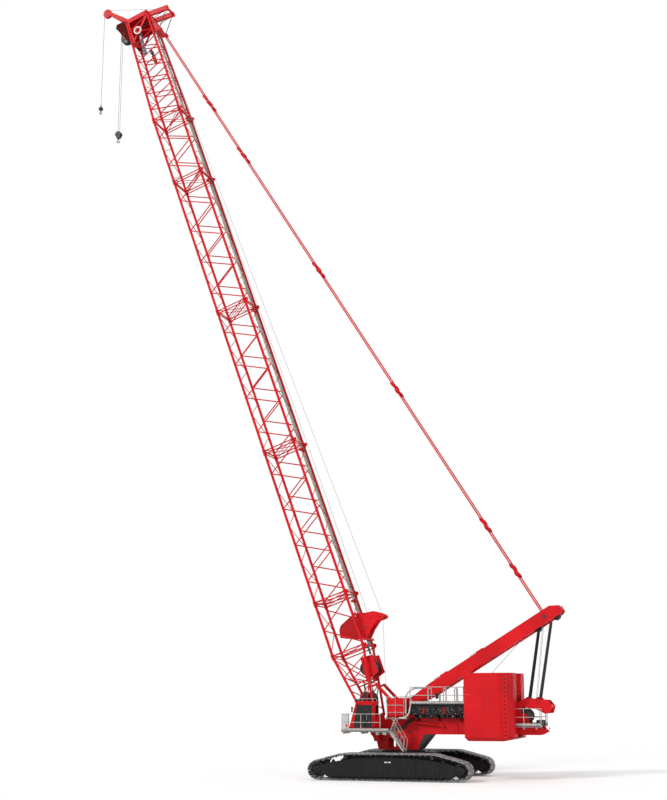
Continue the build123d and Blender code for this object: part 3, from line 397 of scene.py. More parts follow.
def stranded(name, light, dark):
    """Wire rope: strands as fine slanted bands."""
    material, look = new_material(name)
    wave = look.add("TexWave", {"Vector": look.place(), "Scale": 38.0, "Distortion": 0.6})
    wave.wave_type = "BANDS"
    wave.bands_direction = "DIAGONAL"
    strands = wave.outputs["Fac"]
    colour = look.mixed(look.ramp(strands, 0, 1, 0.2, 0.8), light, dark)
    look.finish({"Base Color": colour, "Metallic": 0.6, "Roughness": 0.5})
    look.bump(strands, 0.5, 0.002)
    return material


def rubber(name, colour):
    """Hose and seal rubber, matt with a grey bloom."""
    material, look = new_material(name)
    bloom = look.ramp(look.noise(7.0, 5), 0, 0.5, 0.45, 0.75)
    grey = tuple(c * 2.2 + 0.02 for c in colour)
    look.finish({"Base Color": look.mixed(bloom, colour, grey), "Roughness": 0.62})
    look.bump(look.noise(60.0, 3), 0.2, 0.002)
    return material


def woven(name, colour):
    """The cover of the driver's seat, in a plain weave."""
    material, look = new_material(name)
    weave = look.add("TexChecker", {"Vector": look.place(), "Scale": 260.0}).outputs["Fac"]
    light = tuple(c * 1.9 for c in colour)
    look.finish({"Base Color": look.mixed(weave, colour, light), "Roughness": 0.85, "Sheen Weight": 0.3})
    look.bump(weave, 0.3, 0.001)
    return material


def tinted_glass(name):
    """Cab glass, slightly dark and faintly dusty."""
    material, look = new_material(name)
    film = look.ramp(look.noise(6.0, 5), 0, 0.35, 0.5, 0.8)
    look.finish({
        "Base Color": look.mixed(film, (0.055, 0.065, 0.062), (0.12, 0.125, 0.12)),
        "Roughness": look.ramp(look.noise(9.0, 4), 0.02, 0.10, 0.4, 0.8),
        "Transmission Weight": 0.9, "IOR": 1.45,
    })
    return material


def lamp_lens(name, colour):
    """A ribbed lamp lens."""
    material, look = new_material(name)
    ribs = look.add("TexWave", {"Vector": look.place(), "Scale": 40.0}).outputs["Fac"]
    pale = tuple(min(1.0, c * 1.3) for c in colour)
    look.finish({"Base Color": look.mixed(ribs, colour, pale), "Roughness": 0.15, "Coat Weight": 0.6})
    look.bump(ribs, 0.3, 0.002)
    return material


# Finishes, each a material paired with the name of a slot

red_coat = paint("red_paint", (0.70, 0.008, 0.013), (0.36, 0.030, 0.028), 0.22)
deep_red_coat = paint("deep_red_paint", (0.46, 0.007, 0.010), (0.26, 0.030, 0.026), 0.25)
# Near-black red for the head's sheave cheeks, which are red like the head: painted shade for the shadow that
# falls on them.
cheek_shade_coat = paint(
    "cheek_shade_paint", (0.090, 0.006, 0.006), (0.060, 0.012, 0.012), 0.1, (0.75, 0.95), 0.0
)
black_coat = paint(
    "black_paint", (0.011, 0.011, 0.012), (0.055, 0.052, 0.048), 0.22, (0.38, 0.6), 0.1
)
cast_steel = metal(
    "shoe_steel", (0.36, 0.36, 0.365), (0.15, 0.147, 0.144), 9.0, (0.42, 0.7), 0.55, 0.5, 45.0
)
oiled_steel = metal("dark_steel", (0.060, 0.060, 0.065), (0.022, 0.022, 0.024), 6.0, (0.35, 0.6), 0.5)
zinc = metal("grey_rail", (0.50, 0.49, 0.47), (0.34, 0.33, 0.31), 14.0, (0.32, 0.5), 0.45, 0.1)
mesh_steel = metal("walkway_grating", (0.46, 0.44, 0.39), (0.27, 0.25, 0.21), 9.0, (0.5, 0.7), 0.25, 0.3)
bright_steel = metal("bare_steel", (0.52, 0.52, 0.53), (0.30, 0.29, 0.28), 20.0, (0.25, 0.45), 0.9, 0.15)
blue_metal = metal("blue_grey_steel", (0.22, 0.27, 0.31), (0.12, 0.15, 0.18), 16.0, (0.3, 0.5), 0.5, 0.15)
rubber_black = rubber("hose_rubber", (0.018, 0.018, 0.019))
white_coat = paint("white_paint", (0.80, 0.80, 0.78), (0.50, 0.48, 0.42), 0.2)

red = red_coat, "red_paint"
deep_red = deep_red_coat, "red_paint"
cheek_shade_red = cheek_shade_coat, "red_paint"
black = black_coat, "black_paint"
black_part = black_coat, "dark_steel"
shoe_steel = cast_steel, "shoe_steel"
pin_steel = bright_steel, "shoe_steel"
dark_steel = oiled_steel, "dark_steel"
blue_steel = blue_metal, "dark_steel"
bare_steel = bright_steel, "dark_steel"
hose = rubber_black, "dark_steel"
galvanised = zinc, "grey_rail"
grating = mesh_steel, "grey_rail"
plain_white = white_coat, "grey_rail"
ring_white = white_coat, "red_paint"
rope_steel = stranded("wire_rope", (0.30, 0.30, 0.31), (0.10, 0.10, 0.105)), "wire_rope"
dark_rope = stranded("reeving_rope", (0.050, 0.050, 0.052), (0.016, 0.016, 0.017)), "wire_rope"
seat_cover = woven("seat_cover", (0.030, 0.030, 0.034)), "seat_cover"
glass = tinted_glass("cab_glass"), None
amber = paint("amber_paint", (0.85, 0.36, 0.03), (0.45, 0.25, 0.08), 0.3), "red_paint"
clear_lens = lamp_lens("lamp_lens", (0.70, 0.70, 0.66)), "dark_steel"
red_lens = lamp_lens("red_lens", (0.60, 0.02, 0.02)), "red_paint"


def dress_nodes():
    """Gives every construction node its finish."""
    usual = {
        slot: material
        for material, slot in (red, black, shoe_steel, dark_steel, galvanised, rope_steel, seat_cover)
    }
    special = {"boom_walkway": grating[0], "counterweight_tray": deep_red[0]}
    slots = {s["node"]: s["material_slot"] for s in frame["record"]["subparts"]}
    for name, obj in nodes.items():
        obj.data.materials.clear()
        obj.data.materials.append(special.get(name) or usual.get(slots.get(name), red[0]))


# Camera, floor and light

def set_camera():
    """The photo's own view."""
    view = Vector((
        cos(camera_pitch) * sin(camera_heading),
        -cos(camera_pitch) * cos(camera_heading),
        sin(camera_pitch),
    ))
    across = view.cross(Vector((0, 0, 1))).normalized()
    up = across.cross(view)
    turn = Matrix((across, up, -view)).transposed()
    camera = bpy.data.cameras.new("camera")
    camera.lens = camera_lens
    camera.sensor_fit = "HORIZONTAL"
    camera.sensor_width = 36
    camera.clip_end = 1000
    obj = bpy.data.objects.new("camera", camera)
    roll = Matrix.Rotation(camera_roll, 3, "Z")
    obj.matrix_world = Matrix.Translation(camera_place) @ (turn @ roll).to_4x4()
    bpy.context.scene.collection.objects.link(obj)
    bpy.context.scene.camera = obj


def seen_white(look):
    """White to the eye and to mirrors, whatever the surface gives off as light."""
    rays = look.add("LightPath", {}).outputs
    eye = rays["Is Camera Ray"]
    for key in ("Is Glossy Ray", "Is Transmission Ray"):
        highest = look.add("Math", {})
        highest.operation = "MAXIMUM"
        look.feed(highest.inputs[0], eye)
        look.feed(highest.inputs[1], rays[key])
        eye = highest.outputs[0]
    return eye


def set_stage():
    """A pale floor, a white surround and soft light from above the camera's left."""
    scene = bpy.context.scene
    scene.view_settings.view_transform = "Standard"
    surround = bpy.data.worlds.new("surround")
    scene.world = surround
    look = Nodes(surround, "Background")
    white = (1, 1, 1)
    look.finish({"Color": white, "Strength": look.ramp(seen_white(look), 0.62, 1.0, 0.0, 1.0)})

    reach = 600
    mesh = bpy.data.meshes.new("floor")
    mesh.from_pydata([(x, y, 0) for x, y in rect(-reach, reach, -reach, reach)], [], [(0, 1, 2, 3)])
    floor = bpy.data.objects.new("floor", mesh)
    scene.collection.objects.link(floor)
    material, look = new_material("pale_floor")
    tone = look.ramp(look.noise(0.4, 4), 0.0, 1.0, 0.3, 0.7)
    eye = look.add("LightPath", {}).outputs["Is Camera Ray"]
    look.finish({
        "Base Color": look.mixed(tone, (0.90, 0.90, 0.90), (0.87, 0.87, 0.87)),
        "Roughness": 0.9, "Specular IOR Level": 0.1,
        "Emission Color": white, "Emission Strength": look.ramp(eye, 0.0, 0.17, 0.0, 1.0),
    })
    mesh.materials.append(material)

    for name, strength, spread, way in (
        ("key", 1.55, 14, (-0.45, -0.78, -0.62)),
        ("fill", 0.35, 60, (0.75, -0.45, -0.50)),
    ):
        lamp = bpy.data.lights.new(name, "SUN")
        lamp.energy = strength
        lamp.angle = radians(spread)
        obj = bpy.data.objects.new(name, lamp)
        obj.rotation_euler = Vector(way).to_track_quat("-Z", "Y").to_euler()
        scene.collection.objects.link(obj)


# Crawlers

track_height = 0.895
link_depth = 0.030
shoe_depth = 0.034
belt = link_depth + shoe_depth
shoe_half_width = 0.370
shoe_count = 62
shoe_gap = 0.014
bend_low, bend_high = 0.5, 0.7
bend_high_x, bend_low_x = 1.5, wheel_x - 0.440
track_rounds = (
    (wheel_x, wheel_z, wheel_radius), (bend_high_x, track_height - belt - bend_high, bend_high),
    (-bend_high_x, track_height - belt - bend_high, bend_high), (-wheel_x, wheel_z, wheel_radius),
    (-bend_low_x, belt + bend_low, bend_low), (bend_low_x, belt + bend_low, bend_low),
)
frame_reach = 2.176


def track_line(offset, steps=48):
    """The closed line of the track in X and Z, offset outwards from its wheels."""
    rounds = [(x, z, r + offset) for x, z, r in track_rounds]
    angles = []
    for (xa, za, ra), (xb, zb, rb) in zip(rounds, rounds[1:] + rounds[:1]):
        length = hypot(xb - xa, zb - za)
        angles.append(atan2(zb - za, xb - xa) - pi / 2 + asin((ra - rb) / length))
    line = []
    for i, (x, z, r) in enumerate(rounds):
        first = angles[i - 1]
        sweep = (angles[i] - first) % (2 * pi)
        for k in range(steps + 1):
            a = first + sweep * k / steps
            line.append(Vector((x + r * cos(a), 0, z + r * sin(a))))
    return line


def spaced(line, count):
    """Points at an even pitch along a closed line."""
    closed = line + [line[0]]
    lengths = [(b - a).length for a, b in zip(closed, closed[1:])]
    step = sum(lengths) / count
    points, travelled, i = [], 0.0, 0
    for k in range(count):
        while travelled + lengths[i] < k * step:
            travelled += lengths[i]
            i += 1
        share = (k * step - travelled) / lengths[i] if lengths[i] else 0
        points.append(closed[i].lerp(closed[i + 1], share))
    return points


def track(name, side):
    """Cast shoes with their links, guide lugs and pins."""
    shoes, pins = Piece(), Piece()
    corner, w, top = 0.010, shoe_half_width, 0.002
    pin_z, pin_radius, pin_half = -0.013, 0.012, 0.19
    joints = spaced(track_line(link_depth), shoe_count)
    for a, b in zip(joints, joints[1:] + joints[:1]):
        way = (b - a).normalized()
        out = Vector((way.z, 0, -way.x))
        place = Matrix((
            (way.x, 0, out.x, (a.x + b.x) / 2), (0, 1, 0, side * gauge_half),
            (way.z, 0, out.z, (a.z + b.z) / 2), (0, 0, 0, 1),
        ))
        half = (b - a).length / 2
        h = half - shoe_gap / 2
        shoes.place = pins.place = place
        tread = [(-h, 0), (-h, shoe_depth - corner), (corner - h, shoe_depth),
                 (h - corner, shoe_depth), (h, shoe_depth - corner), (h, 0)]
        for y0, y1 in ((0.03 - w, -0.06), (0.06, w - 0.03)):
            shoes.plate(tread, y0, y1)
        shoes.plate(rect(-h, h, 0, shoe_depth * 0.55), -w, w)
        for y in (0.004 - w, w - 0.034):
            shoes.block((-h * 0.6, y, shoe_depth * 0.5), (h * 0.6, y + 0.03, shoe_depth * 0.92))
        shoes.block((-half * 0.92, -0.060, -link_depth), (half * 0.55, 0.060, top))
        for y in (-0.165, 0.085):
            shoes.block((-half * 0.6, y, -link_depth), (half * 0.95, y + 0.08, top))
        for y in (-0.182, 0.167):
            shoes.block((-0.022, y, -0.055), (0.022, y + 0.015, top))
        pins.axle(half, pin_z, -pin_half, pin_half, pin_radius, 8)
    shoes.place = pins.place = world
    shoes.done("track_shoes_" + name, "undercarriage", shoe_steel, node="track_" + name)
    pins.done("track_pins_" + name, "undercarriage", pin_steel)


def frame_arc(x, shoulder=0.560, crown=0.765):
    """The height of the side frame's curved top at x."""
    rise = crown - shoulder
    radius = (frame_reach * frame_reach + rise * rise) / (2 * rise)
    return crown - radius + (radius * radius - x * x) ** 0.5


def side_frame(name, side):
    """Flanges, covers, ribs, hub caps and bolts of one crawler frame."""
    trim, bolts = Piece(), Piece()
    outer = side * (gauge_half + frame_half)
    inner = side * (gauge_half - frame_half)
    thick, arc_half, flange = 0.016, 2.15, 0.028
    low_z, base_z = 0.135, 0.160
    hub = [(0.0, 0.0), (0.135, 0.0), (0.135, 0.014), (0.115, 0.026), (0.05, 0.030), (0.0, 0.030)]
    arc = [(x, frame_arc(x)) for x in even(-arc_half, arc_half, 24)]
    flange_line = arc + [(x, z - flange) for x, z in reversed(arc)]
    for face, out in ((outer, side), (inner, -side)):
        y0, y1 = sorted((face, face + out * thick))
        trim.plate(flange_line, y0, y1)
        trim.block((-2.12, y0, low_z), (2.12, y1, base_z))
        for x in (-1.42, -0.48, 0.48, 1.42):
            trim.block((x - 0.30, y0, 0.215), (x + 0.30, y0 + thick * 0.55, 0.400), 0.006)
            for dx, z in product((-0.265, 0.265), (0.245, 0.370)):
                bolts.bolt((x + dx, face + out * 0.008, z), (0, out, 0), 0.010)
        for x in even(-2.0, 2.0, 20):
            bolts.bolt((x, face + out * thick, 0.148), (0, out, 0), 0.009, 0.007)
        for x in (-0.95, 0.0, 0.95):
            rib = rect(x - 0.012, x + 0.012, base_z, frame_arc(x) - 0.02)
            trim.plate(rib, y0, y0 + thick * 0.8)
        for end in (-wheel_x, wheel_x):
            trim.lathe(hub, (end, face, wheel_z), (0, out, 0), 32)
            bolts.bolts_round((end, face + out * 0.020, wheel_z), (0, out, 0), 0.095, 12, 0.009)
    for x, dx in product((-bend_high_x, bend_high_x), (-0.13, 0.13)):
        trim.block((x + dx - 0.02, side * (gauge_half - 0.22), 0.60),
                   (x + dx + 0.02, side * (gauge_half + 0.22), frame_arc(x) + 0.012))
    for x in (-1.9, 1.9):
        top = frame_arc(x)
        lug = [(x - 0.07, top - 0.01), (x + 0.07, top - 0.01), (x + 0.035, top + 0.075),
               (x - 0.035, top + 0.075)]
        trim.plate(lug, outer - 0.03, outer - 0.008 if side > 0 else outer + 0.02)
    trim.done("crawler_trim_" + name, "undercarriage", black)
    bolts.done("crawler_bolts_" + name, "undercarriage", dark_steel)


def wheels(name, side):
    """Round spokes on the end wheels of one crawler."""
    rims = Piece()
    spokes = 10
    for end, k in product((-wheel_x, wheel_x), range(spokes)):
        a = 2 * pi * k / spokes
        out = Vector((cos(a), 0, sin(a)))
        centre = Vector((end, side * gauge_half, wheel_z))
        rims.rod(centre + out * 0.10, centre + out * 0.19, 0.020, 8)
    rims.done("wheel_spokes_" + name, "undercarriage", dark_steel)


def crawler_fill(name, side):
    """Dark guards beside the lower rollers and inside the upper run of the track."""
    guards = Piece()
    for edge in (-1, 1):
        y = side * (gauge_half + edge * 0.205)
        guards.block((-1.98, y - 0.006, 0.072), (1.98, y + 0.006, 0.140), 0.003)
        for x in even(-1.6, 1.6, 4):
            guards.block((x - 0.03, y - 0.012, 0.075), (x + 0.03, y + 0.012, 0.14), 0.004)
    run = [p for p in spaced(track_line(-0.008), 240) if p.z > 0.42]
    reach = frame_reach - 0.01
    for x0, x1 in ((-2.45, 1.63), (2.03, 2.45)):
        upper = sorted((p.x, p.z) for p in run if x0 < p.x < x1)
        lower = [(x, frame_arc(min(abs(x), reach)) - 0.08) for x, _ in upper[::-6]]
        guards.plate(upper + lower, side * gauge_half - 0.004, side * gauge_half + 0.004)
    guards.done("crawler_guards_" + name, "undercarriage", black)


def carbody_trim():
    """Bolts of the slewing ring, hatches, pin bosses and travel hoses of the centre."""
    trim, bolts, lines = Piece(), Piece(), Piece()
    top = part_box("carbody")[1].z
    bolts.bolts_round((0, 0, top + 0.06), upward, 0.655, 60, 0.009)
    collar = [(0.68, 0.0), (0.76, 0.0), (0.76, 0.018), (0.70, 0.03), (0.68, 0.03)]
    trim.lathe(collar, (0, 0, top), upward, 64)
    hatch_top = top + 0.014
    for x, y in product((-0.93, 0.93), (-0.42, 0.42)):
        trim.block((x - 0.12, y - 0.14, top), (x + 0.12, y + 0.14, hatch_top), 0.005)
        for dx, dy in product((-0.1, 0.1), (-0.12, 0.12)):
            bolts.bolt((x + dx, y + dy, hatch_top), upward, 0.008)
    for x, side in product((-0.8, 0.8), (-1, 1)):
        y = side * 1.32
        trim.axle(x, 0.74, y - 0.11, y + 0.11, 0.085, 20, 0.008)
        for dx in (-0.17, 0.17):
            trim.rod((x + dx, y, 0.66), (x + dx, y, 0.80), 0.045, 16, cut=0.006)
            bolts.bolt((x + dx, y, 0.80), upward, 0.02, 0.014)
        for dz in (0.0, 0.06, 0.12):
            lines.bent([
                (x * 0.4, side * 0.80, 0.55 + dz), (x * 0.55, side * 1.05, 0.62 + dz),
                (x * 0.55, side * 1.30, 0.52 + dz), (x * 0.62, side * 1.52, 0.40 + dz),
            ], 0.12, 0.014)
    trim.done("carbody_trim", "undercarriage", black)
    bolts.done("carbody_bolts", "undercarriage", dark_steel)
    lines.done("travel_hoses", "undercarriage", hose)


def blank_plate():
    """The small bare plate on the near crawler frame."""
    plate = Piece()
    y = gauge_half + frame_half
    plate.block((-0.11, y, 0.585), (0.11, y + 0.006, 0.625), 0.002)
    plate.done("blank_plate", "undercarriage", plain_white)


# Rails and gratings

def grid(piece, x0, x1, y0, y1, z, pitch=0.05, bar=0.006):
    """Bearing bars and cross bars of a walkway grating."""
    for x in even(x0, x1 - bar, max(2, ceil((x1 - x0) / pitch))):
        piece.block((x, y0, z), (x + bar, y1, z + 0.009), 0.001)
    for y in even(y0, y1 - bar, max(2, ceil(abs(y1 - y0) / (pitch * 2.5)))):
        piece.block((x0, y, z), (x1, y + bar, z + 0.007), 0.001)


def walkway_floors():
    """Gratings and kick plates of the catwalks, the cab platform and the rear walkways."""
    bars, edges = Piece(), Piece()
    walks = ("catwalk_left", "catwalk_right", "rear_walkway_left", "rear_walkway_right", "cab_platform")
    platform_inner = 0.70
    for name in walks:
        low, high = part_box(name)
        floor = high.z - rail_height - 0.0002
        y_in, y_out = (low.y, high.y) if high.y > 0 else (high.y, low.y)
        if name == "cab_platform":
            y_in = platform_inner
        out = 1 if high.y > 0 else -1
        y0, y1 = sorted((y_in + out * 0.02, y_out - out * 0.012))
        grid(bars, low.x + 0.01, high.x - 0.01, y0, y1, floor)
        edges.block((low.x, y_out - out * 0.010, floor - 0.03), (high.x, y_out, floor + 0.075), 0.002)
    bars.done("walkway_gratings", "upperworks", grating)
    edges.done("kick_plates", "upperworks", galvanised)


# Boom

chord_radius = 0.050
lacing_radius = 0.023
brace_radius = 0.014
splice_radius = 0.066
head_start = butt_length + sum(section_lengths) + top_length
arm_roller = (30.620, 0.700)


def corner_places(low, high, half_width):
    """The four chord places across the boom as pairs of Y and V."""
    return [(half_width, low), (half_width, high), (-half_width, high), (-half_width, low)]


box_places = corner_places(-boom_half_depth, boom_half_depth, boom_half_width)
head_places = corner_places(head_v[0], head_v[1], head_half_width)


def lattice_section(node, t0, t1, first, last, members):
    """A section with tube chords, zigzag lacing on four faces, end frames and forked ends."""
    bars = Piece(boom)

    def at(k, t):
        share = (t - t0) / (t1 - t0)
        (ya, va), (yb, vb) = first[k], last[k]
        return Vector((t, ya + (yb - ya) * share, va + (vb - va) * share))

    splice_length, fork_half = 0.11, Vector((0, 0.085, 0))
    frame_ends = (t0 + 0.055, t1 - 0.055)
    stations = list(even(t0 + 0.16, t1 - 0.16, members))
    for k in range(4):
        bars.rod(at(k, t0), at(k, t1), chord_radius, 14)
        for t, inward in ((t0, splice_length), (t1, -splice_length)):
            bars.rod(at(k, t), at(k, t + inward), splice_radius, 14, cut=0.008)
            place = at(k, t + inward * 0.45)
            bars.rod(place - fork_half, place + fork_half, 0.026, 10, cut=0.004)
    for k, other, radius, phase in (
        (1, 0, lacing_radius, 0), (3, 2, lacing_radius, 0),
        (0, 3, brace_radius, 0), (1, 2, brace_radius, 1),
    ):
        for i, (a, b) in enumerate(zip(stations, stations[1:])):
            low, high = (k, other) if (i + phase) % 2 == 0 else (other, k)
            bars.rod(at(low, a), at(high, b), radius, 8)
        for t in frame_ends:
            bars.rod(at(k, t), at(other, t), lacing_radius, 8)
    for t, k in product(frame_ends, (0, 1)):
        bars.rod(at(k, t), at(k + 2, t), brace_radius, 8)
    bars.done("lattice_" + node, "boom", red, node=node)


def boom_sections():
    """All the sections above the butt."""
    names = (
        "boom_guide_section", "boom_insert_1", "boom_insert_2", "boom_insert_3", "boom_short_insert",
    )
    bay = 1.45
    t = butt_length
    for name, length in zip(names, section_lengths):
        lattice_section(name, t, t + length, box_places, box_places, 2 * round(length / bay))
        t += length
    lattice_section("boom_top_section", t, t + top_length, box_places, head_places, 12)


def boom_fittings():
    """Rope rollers, splice lugs and the walkway on the top section."""
    lugs, rollers, strip = Piece(boom), Piece(boom), Piece(boom)
    splices = [butt_length + sum(section_lengths[:i]) for i in range(len(section_lengths) + 1)]
    width = boom_half_width
    for t in splices:
        lug = [(t - 0.10, 0.62), (t + 0.12, 0.62), (t + 0.06, 0.745), (t - 0.03, 0.745)]
        for y in (-width, width):
            lugs.plate(lug, y - 0.012, y + 0.012)
        for v in (-boom_half_depth, boom_half_depth):
            lugs.axle(t + 0.05, v, -width, width, 0.028, 10)
    for t in splices[1:]:
        lugs.block((t - 0.35, -0.20, 0.60), (t - 0.31, 0.20, 0.665))
        for y in (-0.18, 0.18):
            lugs.block((t - 0.36, y - 0.008, 0.58), (t - 0.28, y + 0.008, 0.76))
        rollers.axle(t - 0.32, 0.72, -0.18, 0.18, 0.032, 12, 0.004)
    t0, treads = splices[-1] + 0.05, 45
    for t in even(t0, head_start - 0.35, treads):
        share = (t - t0) / top_length
        v = boom_half_depth + (head_v[1] - boom_half_depth) * share - 0.045
        strip.block((t, 0.16 * share - 0.47, v - 0.050), (t + 0.100, -0.24, v), 0.002)
    lugs.done("boom_lugs", "boom", red)
    rollers.done("boom_rope_rollers", "boom", dark_steel)
    strip.done("top_walkway", "boom", grating)


def walkway_bars():
    """The open grating laid on the boom's walkway, and its edge strips."""
    bars = Piece(boom)
    t0, t1 = butt_length + 0.02, head_start - top_length - 0.02
    for t in list(even(t0, t1, 190))[:-1]:
        bars.block((t, -0.50, 0.586), (t + 0.055, -0.24, 0.592), 0.001)
    for y in (-0.50, -0.245):
        bars.block((t0, y, 0.540), (t1, y + 0.006, 0.594), 0.001)
    bars.done("boom_walkway_bars", "boom", grating)


def butt_details():
    """Extra lacing and hoses of the foot section."""
    bars, pipes = Piece(boom), Piece(boom)
    foot_t, foot_half = 0.5, 0.17
    stations = (0.75, 1.15, 1.60, 2.10, 2.62)

    def at(side, edge, t):
        share = (t - foot_t) / (butt_length - foot_t)
        return (t, side * boom_half_width, edge * (foot_half + (boom_half_depth - foot_half) * share))

    for side in (-1, 1):
        for i, (a, b) in enumerate(zip(stations, stations[1:])):
            edge = 1 if i % 2 == 0 else -1
            bars.rod(at(side, edge, a), at(side, -edge, b), 0.020, 8)
        bars.rod(at(side, -1, 1.75), at(side, 1, 1.75), 0.024, 8)
        for k in range(3):
            y = side * (0.50 - 0.035 * k)
            pipes.bent([(0.75, y, 0.05), (1.30, y, 0.02 + 0.05 * k), (1.62, y, 0.14), (1.82, y, 0.16)],
                       0.2, 0.011)
    for t in (0.85, 1.35, 1.9):
        bars.rod(at(-1, -1, t), at(1, -1, t + 0.25), 0.018, 8)
    bars.done("butt_lacing", "boom", red)
    pipes.done("butt_hoses", "boom", hose)


def wraps(core, groove, crest, half, turns):
    """The turned profile of rope wound on a drum."""
    step = 2 * half / turns
    profile = [(core, -half)]
    for i in range(turns):
        profile += [(groove, -half + step * i + 0.001), (crest, -half + step * i + step * 0.5)]
    return profile + [(groove, half), (core, half)]


def drums():
    """Rope, rims and end bolts of the three winches."""
    turns = 22
    butt_drum = boom @ Vector((boom_drum[0], 0, boom_drum[1]))
    bed_drum = sum(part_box("bed_drum"), Vector()) / 2
    luffing_drum = sum(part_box("luffing_drum"), Vector()) / 2
    for body, centre, radius, half in (
        ("boom_drum", butt_drum, 0.270, 0.380), ("bed_drum", bed_drum, 0.250, 0.310),
        ("luffing_drum", luffing_drum, 0.230, 0.310),
    ):
        rope, ends = Piece(), Piece()
        crest, wound_half = radius * 0.86, half - 0.030
        groove = crest - 2 * wound_half / turns * 0.30
        profile = wraps(crest * 0.55, groove, crest, wound_half, turns)
        rope.lathe(profile, centre, along_y, drum_sides)
        rope.done(body + "_rope", body, dark_rope)
        for side in (-1, 1):
            place = centre + Vector((0, side * half, 0))
            ends.lathe(rect(radius - 0.03, radius, 0.0, 0.012), place, (0, side, 0), drum_sides)
            ends.bolts_round(place, (0, side, 0), radius * 0.55, 10, 0.012)
        ends.done(body + "_rims", body, dark_steel)


def foot_drum():
    """The dark drum low in the butt, on its shaft between the cheeks."""
    drum, rope = Piece(boom), Piece(boom)
    t, v, radius, half, rim = 1.17, 0.0, 0.250, 0.300, 0.026
    shaft_half, shaft_radius = 0.585, 0.045
    drum.axle(t, v, -shaft_half, shaft_half, shaft_radius, 18)
    for side in (-1, 1):
        drum.lathe(rect(0.05, radius, 0.0, rim), (t, side * half, v), (0, side, 0), drum_sides)
        drum.bolts_round((t, side * (half + rim), v), (0, side, 0), 0.15, 10, 0.012)
        drum.axle(t, v, side * (half + 0.02), side * (half + 0.14), 0.12, 24, 0.01)
    drum.done("foot_drum", "boom", dark_steel)
    rope.lathe(wraps(0.08, 0.195, 0.204, half, 20), (t, 0, v), along_y, drum_sides)
    rope.block((2.55, 0.40, 0.70), (2.92, 0.56, 0.74), 0.01)
    rope.done("foot_drum_rope", "boom", dark_rope)


guide_planes = (0.300, -0.215)
guide_roller = (3.690, 1.440)
guide_low_roller = (3.990, 0.900)


def rope_guide():
    """The two plates that run from inside the guide section to the rollers behind it."""
    plates, inner, rollers = Piece(boom), Piece(boom), Piece(boom)
    base, thick = 0.600, 0.024
    outline = [
        (4.090, base), (4.082, 0.742), (3.989, 0.974), (3.940, 1.275), (3.791, 1.487),
        (3.680, 1.590), (3.627, 1.580), (3.610, 1.480), (3.616, 1.293), (3.402, 0.983),
        (3.158, 0.743), (3.110, base),
    ]
    inside = [
        (4.090, base - 0.020), (4.080, 0.500), (3.987, 0.230), (3.889, -0.032), (3.744, -0.132),
        (3.500, -0.176), (3.170, base - 0.020),
    ]
    for plane in guide_planes:
        way = 1 if plane > 0 else -1
        for target, edge in ((plates, outline), (inner, inside)):
            target.plate(edge, plane, plane - way * thick)
            for (ta, va), (tb, vb) in zip(edge, edge[1:]):
                y = plane - way * 0.006
                target.rod((ta, y, va), (tb, y, vb), 0.017, 8)
        plates.axle(3.800, 1.080, plane, plane + way * 0.012, 0.045, 18, 0.003)
        rollers.axle(3.546, 0.801, plane, plane + way * 0.006, 0.038, 18)
        for t, v in ((3.810, 1.230), (3.950, 0.800), (3.300, 0.720)):
            plates.bolt((t, plane, v), (0, way, 0), 0.016, 0.012)
    half, tube_v, clamp = boom_half_width, 0.680, 0.040
    for t in (3.140, 4.060):
        plates.axle(t, tube_v, -half, half, 0.034, 14, 0.004)
        for y in (-half, half):
            plates.block((t - clamp, y - 0.030, tube_v - clamp), (t + clamp, y + 0.030, tube_v + clamp))
    low, high = guide_planes[1], guide_planes[0]
    for (t, v), radius in ((guide_roller, 0.050), (guide_low_roller, 0.040)):
        plates.axle(t, v, low, high, 0.024, 14)
        for i in range(4):
            y = low + 0.030 + 0.115 * i
            rollers.axle(t, v, y, y + 0.100, radius, 16, 0.008)
    plates.done("guide_plates", "boom", red, node="rope_guide")
    inner.done("guide_inner_plates", "boom", deep_red)
    rollers.done("guide_rollers", "boom", dark_steel)


def head_frame():
    """The open side frames of the head with their sheave cheeks and cross tubes."""
    frames, inside, cheeks = Piece(boom), Piece(boom), Piece(boom)
    h, half = head_start, head_half_width
    front_v, back_v = head_v
    main_t, main_v = main_sheave[0], main_sheave[1]
    cheek = [
        (h - 1.15, front_v - 0.030), (h - 1.10, front_v + 0.02), (h + 0.06, front_v + 0.02),
        (h + 0.06, front_v - 0.06), (main_t + 0.58, main_v - 0.13), (main_t + 0.48, main_v - 0.17),
        (main_t - 0.02, main_v - 0.05), (main_t - 0.11, main_v + 0.02),
    ]
    outlines = (
        rect(h - 1.15, h + 0.06, front_v, front_v + 0.085),
        rect(h - 0.13, h + 0.06, front_v + 0.08, back_v + 0.06),
        [(h - 0.62, back_v - 0.05), (h - 0.58, back_v + 0.06), (h - 0.12, back_v + 0.06),
         (h - 0.12, back_v - 0.05)],
        [(h - 1.08, front_v + 0.08), (h - 0.98, front_v + 0.08), (h - 0.14, back_v - 0.06),
         (h - 0.24, back_v - 0.06)],
    )
    for y in (-half, half):
        for outline in outlines:
            frames.plate(outline, y - 0.015, y + 0.015)
        cheeks.plate(cheek, y - 0.013, y + 0.013)
        flange = rect(h + 0.035, h + 0.06, front_v, back_v + 0.05)
        frames.plate(flange, y, y - 0.05 if y > 0 else y + 0.05)
    for t, v, radius in ((h, back_v, 0.055), (h, front_v, 0.055), (main_t, main_v, 0.045)):
        frames.axle(t, v, -half, half, radius, 16)
    frames.done("head_frames", "boom", red, node="boom_head")
    # Painted shade: the red cheeks get the near-black red of the shadow on them.
    cheeks.done("head_cheeks", "boom", cheek_shade_red)
    inside.block((h + 0.02, -half + 0.03, front_v), (h + 0.045, half - 0.03, back_v))
    inside.block((h - 1.02, -half + 0.03, front_v - 0.02), (h + 0.02, half - 0.03, front_v))
    inside.block((h - 0.60, -half + 0.016, -0.34), (h + 0.02, -half + 0.030, 0.50))
    inside.done("head_plates", "boom", deep_red)


